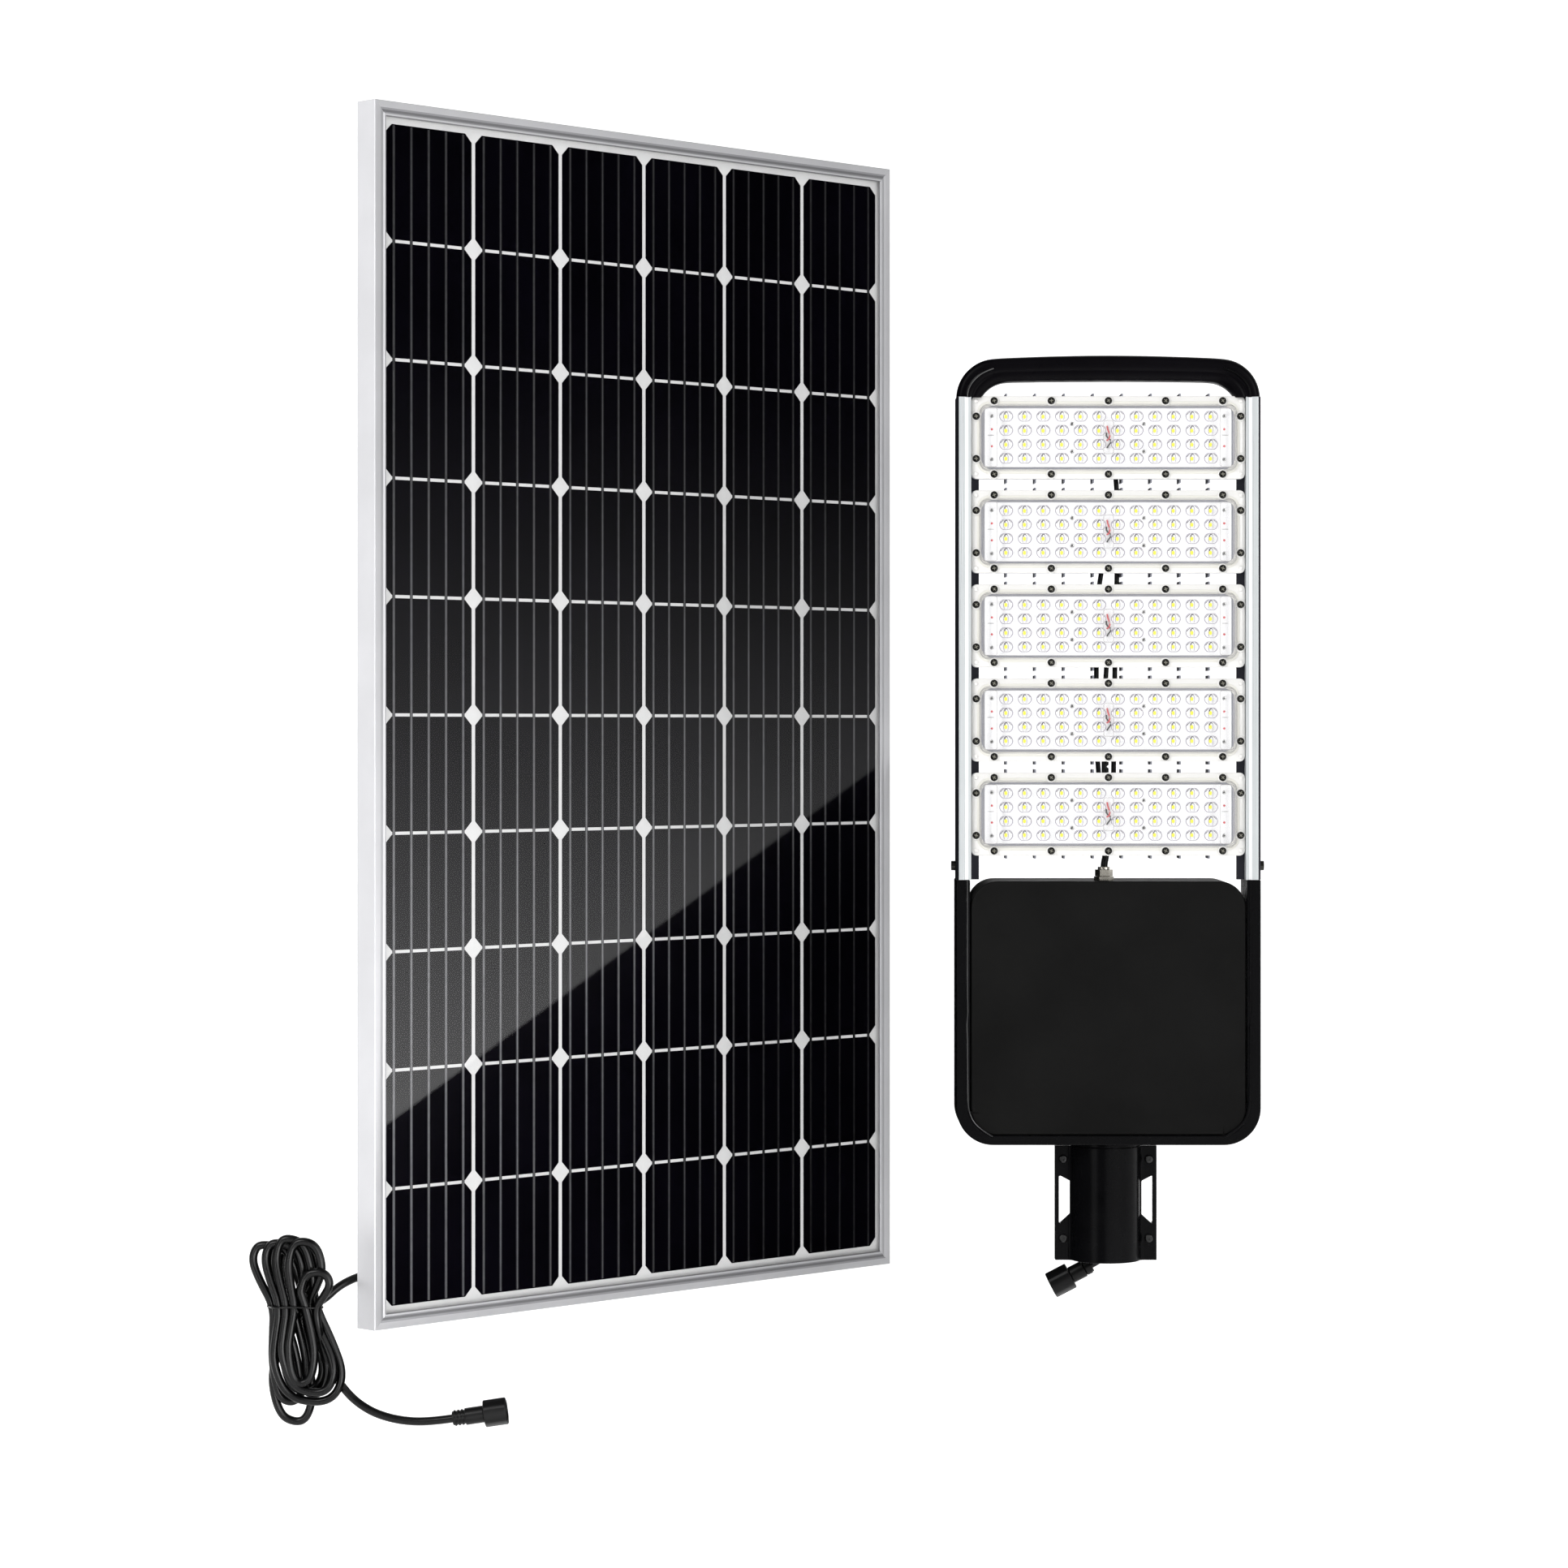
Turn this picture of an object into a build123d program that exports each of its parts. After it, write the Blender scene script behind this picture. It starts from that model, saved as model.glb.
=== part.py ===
"""Solar street lamp kit: a framed solar panel with its coiled cable, and a pole-top LED lamp head.

Millimetres, +Z up. The origin is on the axis of the lamp's pole clamp, at the clamp's lower mouth.
+X runs to the right along the lamp's front, +Y runs to its back: the LEDs shine towards -Y.
The panel stands upright beside the lamp and is turned away from the lamp's front.
"""
from build123d import *
import math
import os

# ---------------------------------------------------------------- driving dimensions
# Solar panel
PANEL_WIDTH = 808.0
PANEL_HEIGHT = 1336.0
PANEL_DEPTH = 30.0
PANEL_TURN = 44.8                        # degrees
PANEL_CORNER = (-795.6, -45.0, -72.0)    # front lower left corner
LIP_WIDTH = 17.0
FLANGE_WIDTH = 28.0
FRAME_WALL = 1.8
GROOVE_FRONT = 2.6
GROOVE_BACK = 8.6
GLASS_THICKNESS = 3.2
CELL_LAYER = 1.0
BACKSHEET = 0.6

# Junction box on the panel's back
JBOX_WIDTH = 116.0
JBOX_HEIGHT = 84.0
JBOX_DEPTH = 20.0
JBOX_BOTTOM = 36.0
JBOX_LID = 3.0
GLAND_HEIGHT = 60.0                      # height of the cable gland above the panel's lower edge

# Lamp head
LAMP_HALF = 165.0
LAMP_FRONT = -45.0
RAIL_WIDTH = 16.0
RAIL_DEPTH = 38.0
RAIL_BOTTOM = 417.0
RAIL_TOP = 941.0
RAIL_WALL = 1.8
ARCH_TOP = 986.6
ARCH_BAND = 28.4
ARCH_RADIUS = 44.0

# LED modules
MODULE_COUNT = 5
MODULE_WIDTH = 297.0
MODULE_HEIGHT = 90.0
MODULE_PITCH = 102.2
MODULE_TOP_CENTRE = 897.0
PLATE_FRONT = -34.0
PLATE_THICKNESS = 4.0
FIN_DEPTH = 30.0
FIN_THICKNESS = 1.8
FIN_PITCH = 31.5
LENS_COLUMNS = 12
LENS_ROWS = 4
LENS_PITCH_X = 20.0
LENS_PITCH_Z = 15.1

# Battery and controller box, with its U-shaped frame
BOX_HALF = 149.0
BOX_BOTTOM = 140.2
BOX_TOP = 415.4
BOX_FRONT = -43.0
BOX_BACK = 55.0
BOX_COVER = 3.0
BOX_WALL = 2.6
UFRAME_BOTTOM = 129.4
UFRAME_BACK = 20.0
UFRAME_RADIUS = 40.0

# Pole clamp
POLE_RADIUS = 34.0
SHELL_WALL = 4.0
CLAMP_HEIGHT = 125.4
CLAMP_HALF = 55.5
CLAMP_BOLT_X = 46.9
CLAMP_BOLT_Z = (23.8, 110.6)
CLAMP_BOLT_RADIUS = 2.5
CLAMP_BOLT_HEAD = 4.6
CLAMP_FILLET = 5.0                       # between the tube and its flanges
# Corners of a window in a flange: distance from the clamp's axis, height
CLAMP_WINDOW = ((38.9, 50.0), (51.4, 38.5), (51.4, 93.0), (38.9, 86.5))
WINDOW_RADIUS = 1.5
STOP_THICKNESS = 4.0                     # between the shells and the frame's lower band
STOP_SCREW_X = (-22.0, 22.0)
STOP_SCREW_Y = (-12.0, 12.0)

# Cables
CABLE_DIAMETER = 9.0
PIGTAIL_DIAMETER = 8.0
LEAD_WIRE_DIAMETER = 5.0

os.makedirs("parts", exist_ok=True)
NODES = {}


def add(name, shape):
    """Keep a finished sub-part under its node name."""
    NODES[name] = shape


def block(x0, x1, y0, y1, z0, z1):
    """A box between two corners."""
    return Pos((x0 + x1) / 2, (y0 + y1) / 2, (z0 + z1) / 2) * Box(x1 - x0, y1 - y0, z1 - z0)


def slab(width, height, radius, y_front, y_back, z_centre=0.0, x_centre=0.0):
    """A rounded rectangle that faces the front, from y_front to y_back."""
    face = Plane.XZ * RectangleRounded(width, height, radius)
    return Pos(x_centre, y_back, z_centre) * extrude(face, y_back - y_front)


def rod(start, end, radius):
    """A round bar between two points."""
    a = Vector(*start)
    b = Vector(*end)
    plane = Plane(origin=a, z_dir=(b - a).normalized())
    return extrude(plane * Circle(radius), (b - a).length)


def hexagon(start, end, across_flats):
    """A hexagonal bar between two points."""
    a = Vector(*start)
    b = Vector(*end)
    plane = Plane(origin=a, z_dir=(b - a).normalized())
    return extrude(plane * RegularPolygon(across_flats / math.sqrt(3), 6), (b - a).length)


def fuse(shapes):
    """One shape from several that touch or overlap."""
    result = shapes[0]
    for shape in shapes[1:]:
        result = result + shape
    return result


def bend_radii(points):
    """The largest arc that each corner's two runs leave room for."""
    radii = []
    for before, here, after in zip(points, points[1:], points[2:]):
        incoming = Vector(*here) - Vector(*before)
        outgoing = Vector(*after) - Vector(*here)
        turn = math.radians(incoming.get_angle(outgoing))
        radii.append(0.45 * min(incoming.length, outgoing.length) / math.tan(turn / 2))
    return radii


def cable(points, diameter, label):
    """A round cable: straight runs joined by tangent arcs."""
    radii = bend_radii(points)
    print(label, "bend radii", [round(radius) for radius in radii])
    path = FilletPolyline(*points, radius=radii)
    start = Plane(origin=path @ 0, z_dir=path % 0)
    tube = sweep(start * Circle(diameter / 2), path=path)
    ideal = math.pi * diameter ** 2 / 4 * path.length
    print(label, "length", round(path.length), "volume ratio", round(tube.volume / ideal, 4))
    return tube


# ---------------------------------------------------------------- solar panel
def panel_place(shape):
    """From the panel's own frame (x along its width, y into its depth, z up) to the lamp's."""
    return Pos(*PANEL_CORNER) * Rot(0, 0, PANEL_TURN) * shape


def frame_member(length):
    """One mitred extrusion: x is inward from the outer edge, y is depth, z runs along it."""
    lip = [(0.8, 0), (8.5, 0), (10.5, 0.9), (12.5, 0.9), (14, 0.2), (16, 0.5), (LIP_WIDTH, 1.4)]
    outline = lip + [
        (LIP_WIDTH, GROOVE_FRONT), (FRAME_WALL, GROOVE_FRONT), (FRAME_WALL, GROOVE_BACK),
        (12, GROOVE_BACK), (12, PANEL_DEPTH - 1.8), (FLANGE_WIDTH, PANEL_DEPTH - 1.8),
        (FLANGE_WIDTH, PANEL_DEPTH), (0.8, PANEL_DEPTH), (0, PANEL_DEPTH - 0.8), (0, 0.8),
    ]
    profile = make_face(Polyline(*outline, close=True))
    chamber = make_face(Polyline(
        (FRAME_WALL, GROOVE_BACK + 1.6), (10.2, GROOVE_BACK + 1.6), (10.2, PANEL_DEPTH - 1.8),
        (FRAME_WALL, PANEL_DEPTH - 1.8), close=True))
    bar = extrude(profile - chamber, length)
    reach = FLANGE_WIDTH + 1
    mitre = Plane.XZ * make_face(Polyline(
        (-1, -1), (reach, reach), (reach, length - reach), (-1, length + 1), close=True))
    return bar & (Pos(0, PANEL_DEPTH + 1, 0) * extrude(mitre, PANEL_DEPTH + 2))


def slotted(member, length):
    """Mounting slots through the back flange, a quarter of the length from each end."""
    for z in (length * 0.22, length * 0.78):
        slot = Plane.XZ * Pos(20.5, z) * Rot(0, 0, 90) * SlotOverall(14, 7)
        member = member - (Pos(0, PANEL_DEPTH + 5, 0) * extrude(slot, 12))
    return member


def build_panel():
    upright = slotted(frame_member(PANEL_HEIGHT), PANEL_HEIGHT)
    crossbar = frame_member(PANEL_WIDTH)
    left = upright
    right = Pos(PANEL_WIDTH, 0, 0) * mirror(upright, Plane.YZ)
    # A crossbar's x becomes height and its z becomes width.
    bottom = mirror(Rot(0, 90, 0) * crossbar, Plane.XY)
    top = Pos(0, 0, PANEL_HEIGHT) * (Rot(0, 90, 0) * crossbar)
    add("panel_frame_left", panel_place(left))
    add("panel_frame_right", panel_place(right))
    add("panel_frame_bottom", panel_place(bottom))
    add("panel_frame_top", panel_place(top))

    key_arm = 34.0
    y0 = GROOVE_BACK + 1.8
    y1 = PANEL_DEPTH - 2.0
    key = block(2.0, 10.0, y0, y1, 2.0, key_arm) + block(2.0, key_arm, y0, y1, 2.0, 10.0)
    keys = []
    for flip_x in (False, True):
        for flip_z in (False, True):
            one = key
            if flip_x:
                one = Pos(PANEL_WIDTH, 0, 0) * mirror(one, Plane.YZ)
            if flip_z:
                one = Pos(0, 0, PANEL_HEIGHT) * mirror(one, Plane.XY)
            keys.append(panel_place(one))
    add("panel_corner_keys", Compound(children=keys))

    inset = FRAME_WALL + 2.2
    x1 = PANEL_WIDTH - inset
    z1 = PANEL_HEIGHT - inset
    y_glass = GROOVE_FRONT + 0.6
    y_cells = y_glass + GLASS_THICKNESS
    y_sheet = y_cells + CELL_LAYER
    y_back = y_sheet + BACKSHEET
    add("panel_glass", panel_place(block(inset, x1, y_glass, y_cells, inset, z1)))
    add("panel_cells", panel_place(block(inset, x1, y_cells, y_sheet, inset, z1)))
    add("panel_backsheet", panel_place(block(inset, x1, y_sheet, y_back, inset, z1)))

    # The seal fills the groove round the laminate's edge.
    outer = FRAME_WALL
    ring = block(outer, PANEL_WIDTH - outer, GROOVE_FRONT, GROOVE_BACK, outer, PANEL_HEIGHT - outer)
    open_edge = 11.0
    ring = ring - block(open_edge, PANEL_WIDTH - open_edge, 0, PANEL_DEPTH,
                        open_edge, PANEL_HEIGHT - open_edge)
    ring = ring - block(inset, x1, y_glass, y_back, inset, z1)
    add("panel_seal", panel_place(ring))
    return y_back


def build_junction_box(y_back):
    centre = PANEL_WIDTH / 2
    x0 = centre - JBOX_WIDTH / 2
    x1 = centre + JBOX_WIDTH / 2
    z0 = JBOX_BOTTOM
    z1 = JBOX_BOTTOM + JBOX_HEIGHT
    y1 = y_back + JBOX_DEPTH - JBOX_LID
    wall = 2.4
    base = Pos(0, y_back, 0) * block(x0, x1, 0, y1 - y_back, z0, z1)
    base = base - block(x0 + wall, x1 - wall, y_back + wall, y1 + 1, z0 + wall, z1 - wall)
    gland_y = y_back + 9.0
    gland_start = (x0 + wall + 3, gland_y, GLAND_HEIGHT)
    gland_end = (x0 - 16, gland_y, GLAND_HEIGHT)
    base = base - rod((x0 - 1, gland_y, GLAND_HEIGHT), (x0 + wall + 1, gland_y, GLAND_HEIGHT), 6.0)

    # Hinge: the base carries a middle knuckle, the lid two outer ones and the pin.
    hinge_z = z1 + 4.0
    hinge_y = y1 + JBOX_LID / 2
    knuckle = 3.0
    pin = 1.2
    middle = rod((centre - 14, hinge_y, hinge_z), (centre + 14, hinge_y, hinge_z), knuckle)
    web = block(centre - 14, centre + 14, y1 - 5, y1 - 0.3, z1 - 0.5, z1 + 4.5)
    middle = (middle + web) - rod((centre - 20, hinge_y, hinge_z), (centre + 20, hinge_y, hinge_z), pin + 0.05)
    base = base + middle
    lid = block(x0, x1, y1 + 0.3, y1 + 0.3 + JBOX_LID, z0, z1)
    lid = lid - block(centre - 15, centre + 15, y1, y1 + 5, z1 - 0.4, z1 + 1)
    sleeves = []
    for side in (-1, 1):
        a = centre + side * 14.5
        b = centre + side * 30
        low, high = sorted((a, b))
        sleeves.append(rod((low, hinge_y, hinge_z), (high, hinge_y, hinge_z), knuckle))
        sleeves.append(block(low, high, y1 + 0.3, y1 + 0.3 + JBOX_LID, z1 - 1, z1 + 3))
    sleeves.append(rod((centre - 29, hinge_y, hinge_z), (centre + 29, hinge_y, hinge_z), pin))
    lid = fuse([lid] + sleeves)
    # A shallow rib inside the lid locates it in the base.
    rib_gap = 0.5
    rib = block(x0 + wall + rib_gap, x1 - wall - rib_gap, y1 - 1.5, y1 + 0.4,
                z0 + wall + rib_gap, z1 - wall - 8)
    rib = rib - block(x0 + wall + 2, x1 - wall - 2, y1 - 3, y1 + 0.3, z0 + wall + 2, z1 - wall - 10)
    lid = lid + rib
    add("junction_box_base", panel_place(base))
    add("junction_box_lid", panel_place(lid))

    terminals = []
    for index in range(4):
        x = centre - 36 + 24 * index
        terminals.append(panel_place(block(x - 8, x + 8, y_back + wall, y_back + 11, z0 + 22, z0 + 58)))
    add("junction_box_terminals", Compound(children=terminals))

    body = rod(gland_start, (x0 - 4, gland_y, GLAND_HEIGHT), 5.95)
    flange = hexagon((x0 - 4, gland_y, GLAND_HEIGHT), (x0, gland_y, GLAND_HEIGHT), 15)
    dome = rod(gland_end, (x0 - 4, gland_y, GLAND_HEIGHT), 7.0)
    gland = fuse([body, flange, dome])
    gland = gland - rod((x0 - 30, gland_y, GLAND_HEIGHT), (x0 + 10, gland_y, GLAND_HEIGHT),
                        CABLE_DIAMETER / 2)
    add("junction_box_gland", panel_place(gland))
    hinge = panel_place(Pos(centre, hinge_y, hinge_z) * Box(1, 1, 1)).center()
    exit_point = panel_place(Pos(gland_end[0], gland_y, GLAND_HEIGHT) * Box(1, 1, 1)).center()
    print("junction lid hinge", hinge, "cable exit", exit_point)


# ---------------------------------------------------------------- panel cable
# Route of the lead, from the junction box along the panel's back and round its left edge.
LEAD_POINTS = [
    (-571.0, 202.5, -12.0),
    (-602.0, 170.5, -13.0),
    (-640.0, 138.0, -17.0),
    (-687.0, 104.0, -20.0),
    (-736.0, 68.5, -17.0),
    (-781.0, 30.0, -14.5),
    (-813.0, -1.0, -16.5),
    (-836.0, -22.0, -25.0),
    (-853.0, -31.0, -41.0),
]
# Route of the tail, from the bottom of the hank to the connector.
TAIL_POINTS = [
    (-846.0, -38.0, -112.0),
    (-831.0, -40.0, -134.0),
    (-815.0, -43.0, -150.0),
    (-793.0, -45.0, -162.5),
    (-764.0, -46.0, -169.5),
    (-735.0, -46.0, -170.0),
    (-711.0, -46.0, -166.5),
]
HANK_FRONT = -60.0
HANK_BACK = -25.0
# Outer shape of the hank, seen from the front: two bunches of loops and a tied waist.
HANK_OUTLINE = [
    (-845, -10), (-858, 18), (-880, 33), (-905, 34), (-928, 24), (-937, 2), (-926, -26),
    (-905, -47), (-915, -82), (-920, -116), (-914, -150), (-898, -176), (-876, -182),
    (-852, -170), (-832, -146), (-823, -118), (-836, -82), (-852, -47), (-846, -28),
]
TIE_Z = -46.0
NUT_LENGTH = 25.0


def connector(start, direction, prefix, sizes):
    """A round waterproof connector along a direction: ribbed relief, body and coupling nut."""
    relief, body_length, nut_gap = sizes
    a = Vector(*start)
    d = Vector(*direction).normalized()

    def at(distance):
        return tuple(a + d * distance)

    relief_end = relief
    body_end = relief_end + body_length
    nut_start = body_end + nut_gap
    nut_end = nut_start + NUT_LENGTH
    spigot = 10.0
    shell = rod(at(0), at(relief_end), 7.6)
    for index in range(3):
        ring_at = 2.0 + index * (relief - 4.0) / 2.5
        shell = shell + rod(at(ring_at), at(ring_at + 2.0), 8.6)
    shell = shell + rod(at(relief_end), at(body_end), 9.2)
    shell = shell + rod(at(body_end), at(nut_end - 2.5), spigot - 1.5)
    shell = shell + rod(at(nut_end - 7.0), at(nut_end - 5.0), spigot)
    shell = shell - rod(at(nut_end - 14.0), at(nut_end + 1), 6.5)
    add(prefix + "_connector_body", shell)
    nut = hexagon(at(nut_start), at(nut_end), 27.0) & rod(at(nut_start), at(nut_end), 14.6)
    nut = nut - rod(at(nut_start - 1), at(nut_start + 5), spigot - 1.5 + 0.4)
    nut = nut - rod(at(nut_start + 4.9), at(nut_end + 1), spigot + 0.5)
    add(prefix + "_connector_nut", nut)
    print(prefix, "nut centre", at((nut_start + nut_end) / 2), "axis", tuple(d))
    side = Plane(origin=at(0), z_dir=d).x_dir
    pins = []
    for offset in (-2.6, 2.6):
        shift = side * offset
        p = a + d * (nut_end - 14.0) + shift
        q = a + d * (nut_end - 8.0) + shift
        pins.append(rod(tuple(p), tuple(q), 1.2))
    return pins


def build_panel_cable():
    add("panel_cable_lead", cable(LEAD_POINTS, CABLE_DIAMETER, "lead"))
    add("panel_cable_tail", cable(TAIL_POINTS, CABLE_DIAMETER, "tail"))
    outline = Plane.XZ * make_face(Spline(*HANK_OUTLINE, periodic=True))
    hank = Pos(0, HANK_BACK, 0) * extrude(outline, HANK_BACK - HANK_FRONT)
    add("panel_cable_hank", hank)
    tie = slab(60, 4.0, 1.5, HANK_FRONT - 1.5, HANK_BACK + 1.5, TIE_Z, -878.5)
    tie = tie - slab(57, 6.0, 1.5, HANK_FRONT, HANK_BACK, TIE_Z, -878.5)
    tie = tie - (hank & slab(60, 5.0, 1.0, HANK_FRONT - 5, HANK_BACK + 5, TIE_Z, -878.5))
    add("hank_tie", tie)
    end = Vector(*TAIL_POINTS[-1])
    heading = end - Vector(*TAIL_POINTS[-2])
    pins = connector(tuple(end), tuple(heading), "panel", (14.0, 20.0, 0.4))
    body = NODES["panel_connector_body"]
    add("panel_connector_body", Compound(children=[body] + pins))


# ---------------------------------------------------------------- lamp rails, arch and frame
def build_rails():
    x0 = LAMP_HALF - RAIL_WIDTH
    y1 = LAMP_FRONT + RAIL_DEPTH
    outer = Pos((x0 + LAMP_HALF) / 2, (LAMP_FRONT + y1) / 2) * RectangleRounded(RAIL_WIDTH, RAIL_DEPTH, 3.5)
    hollow = Pos((x0 + LAMP_HALF) / 2, (LAMP_FRONT + y1) / 2) * RectangleRounded(
        RAIL_WIDTH - 2 * RAIL_WALL, RAIL_DEPTH - 2 * RAIL_WALL, 1.8)
    flange_y = PLATE_FRONT + PLATE_THICKNESS
    flange = Pos(x0 - 3.5, flange_y + 1.0) * Rectangle(11, 2)
    profile = (outer + flange) - hollow
    rail = Pos(0, 0, RAIL_BOTTOM) * extrude(profile, RAIL_TOP - RAIL_BOTTOM)
    for z in module_centres():
        for dz in (-28, 28):
            rail = rail - rod((x0 - 5, flange_y - 3, z + dz), (x0 - 5, flange_y + 5, z + dz), 2.2)
    bolt_z = RAIL_BOTTOM + 15
    rail = rail - rod((LAMP_HALF - 4, -26, bolt_z), (LAMP_HALF + 2, -26, bolt_z), 3.2)
    add("side_rail_right", rail)
    add("side_rail_left", mirror(rail, Plane.YZ))
    bolts = []
    for side in (-1, 1):
        shank = rod((side * (LAMP_HALF - 11), -26, bolt_z), (side * LAMP_HALF, -26, bolt_z), 3.0)
        head = rod((side * LAMP_HALF, -26, bolt_z), (side * (LAMP_HALF + 5), -26, bolt_z), 5.2)
        bolts.append(shank + head)
    add("side_bolts", Compound(children=bolts))


def spigot(side, z0, z1):
    """The tongue of the arch or of the lower frame inside a rail."""
    gap = RAIL_WALL + 0.2
    x0 = LAMP_HALF - RAIL_WIDTH + gap
    x1 = LAMP_HALF - gap
    y0 = LAMP_FRONT + gap
    y1 = LAMP_FRONT + RAIL_DEPTH - gap
    section = Pos(side * (x0 + x1) / 2, (y0 + y1) / 2) * RectangleRounded(x1 - x0, y1 - y0, 1.7)
    return Pos(0, 0, z0) * extrude(section, z1 - z0)


def build_arch():
    y1 = LAMP_FRONT + RAIL_DEPTH
    shoulder = ARCH_TOP - 4.5
    foot = RAIL_TOP
    inner_x = 137.0
    inner_top = ARCH_TOP - ARCH_BAND
    turn_low = shoulder - ARCH_RADIUS
    turn_in = LAMP_HALF - ARCH_RADIUS
    diagonal = ARCH_RADIUS / math.sqrt(2)
    turn_mid = (turn_in + diagonal, turn_low + diagonal)
    inner_mid = (127.0, inner_top - 6.2)
    inner_end = (108.0, inner_top - 0.8)
    edges = [
        Line((inner_x, foot), (LAMP_HALF, foot)),
        Line((LAMP_HALF, foot), (LAMP_HALF, turn_low)),
        ThreePointArc((LAMP_HALF, turn_low), turn_mid, (turn_in, shoulder)),
        ThreePointArc((turn_in, shoulder), (0, ARCH_TOP), (-turn_in, shoulder)),
        ThreePointArc((-turn_in, shoulder), (-turn_mid[0], turn_mid[1]), (-LAMP_HALF, turn_low)),
        Line((-LAMP_HALF, turn_low), (-LAMP_HALF, foot)),
        Line((-LAMP_HALF, foot), (-inner_x, foot)),
        ThreePointArc((-inner_x, foot), (-inner_mid[0], inner_mid[1]), (-inner_end[0], inner_end[1])),
        ThreePointArc((-inner_end[0], inner_end[1]), (0, inner_top + 1.2), inner_end),
        ThreePointArc(inner_end, inner_mid, (inner_x, foot)),
    ]
    outline = make_face(edges)
    arch = Pos(0, y1, 0) * extrude(Plane.XZ * outline, RAIL_DEPTH)
    # The inner foot stands behind the top module, clear of its cover.
    for side in (-1, 1):
        low, high = sorted((side * 130, side * (LAMP_HALF - RAIL_WIDTH)))
        arch = arch - block(low, high, -50, 0, RAIL_TOP - 5, RAIL_TOP + 2.5)
        arch = arch + spigot(side, RAIL_TOP - 30, RAIL_TOP + 1)
    add("top_arch", arch)


def build_uframe():
    inner_half = LAMP_HALF - 14.8
    inner_bottom = UFRAME_BOTTOM + 10.5
    height = RAIL_BOTTOM - UFRAME_BOTTOM
    tall = 2 * height
    outer = Pos(0, RAIL_BOTTOM) * RectangleRounded(2 * LAMP_HALF, tall, UFRAME_RADIUS)
    inner = Pos(0, RAIL_BOTTOM) * RectangleRounded(
        2 * inner_half, 2 * (RAIL_BOTTOM - inner_bottom), UFRAME_RADIUS - 12)
    lower_half = Pos(0, RAIL_BOTTOM - height / 2 - 5) * Rectangle(2 * LAMP_HALF + 20, height + 10)
    profile = (outer - inner) & lower_half
    frame = Pos(0, UFRAME_BACK, 0) * extrude(Plane.XZ * profile, UFRAME_BACK - LAMP_FRONT)
    for side in (-1, 1):
        tongue = spigot(side, RAIL_BOTTOM - 1, RAIL_BOTTOM + 30)
        bolt_z = RAIL_BOTTOM + 15
        tongue = tongue - rod((side * (LAMP_HALF - 14), -26, bolt_z), (side * LAMP_HALF, -26, bolt_z), 3.05)
        frame = frame + tongue
    # The clamp's four fixing screws come up through the lower band.
    for x in STOP_SCREW_X:
        for y in STOP_SCREW_Y:
            frame = frame - rod((x, y, UFRAME_BOTTOM - 1), (x, y, UFRAME_BOTTOM + 12), 2.55)
    add("u_frame", frame)


# ---------------------------------------------------------------- battery box
COVER_SCREW_INSET = 6.5


def box_outline(inset):
    half = BOX_HALF - inset
    low = BOX_BOTTOM + inset
    high = BOX_TOP - inset
    upper = 29.0 - inset * 0.6
    lower = 27.0 - inset * 0.6
    face = Pos(0, (low + high) / 2) * Rectangle(2 * half, high - low)
    corners = face.vertices().group_by(Axis.Y)
    face = fillet(corners[-1], upper)
    return fillet(face.vertices().group_by(Axis.Y)[0], lower)


def cover_screw_places():
    """Along the top and bottom edges, in from the rounded corners, and up both sides."""
    corner_x, inner_x = 112.0, 45.0
    side_x = BOX_HALF - COVER_SCREW_INSET
    places = []
    for side in (-1, 1):
        for z in (BOX_BOTTOM + COVER_SCREW_INSET, BOX_TOP - COVER_SCREW_INSET):
            places += [(side * corner_x, z), (side * inner_x, z)]
        for z in (BOX_BOTTOM + 90, BOX_TOP - 90):
            places.append((side * side_x, z))
    return places


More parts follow.
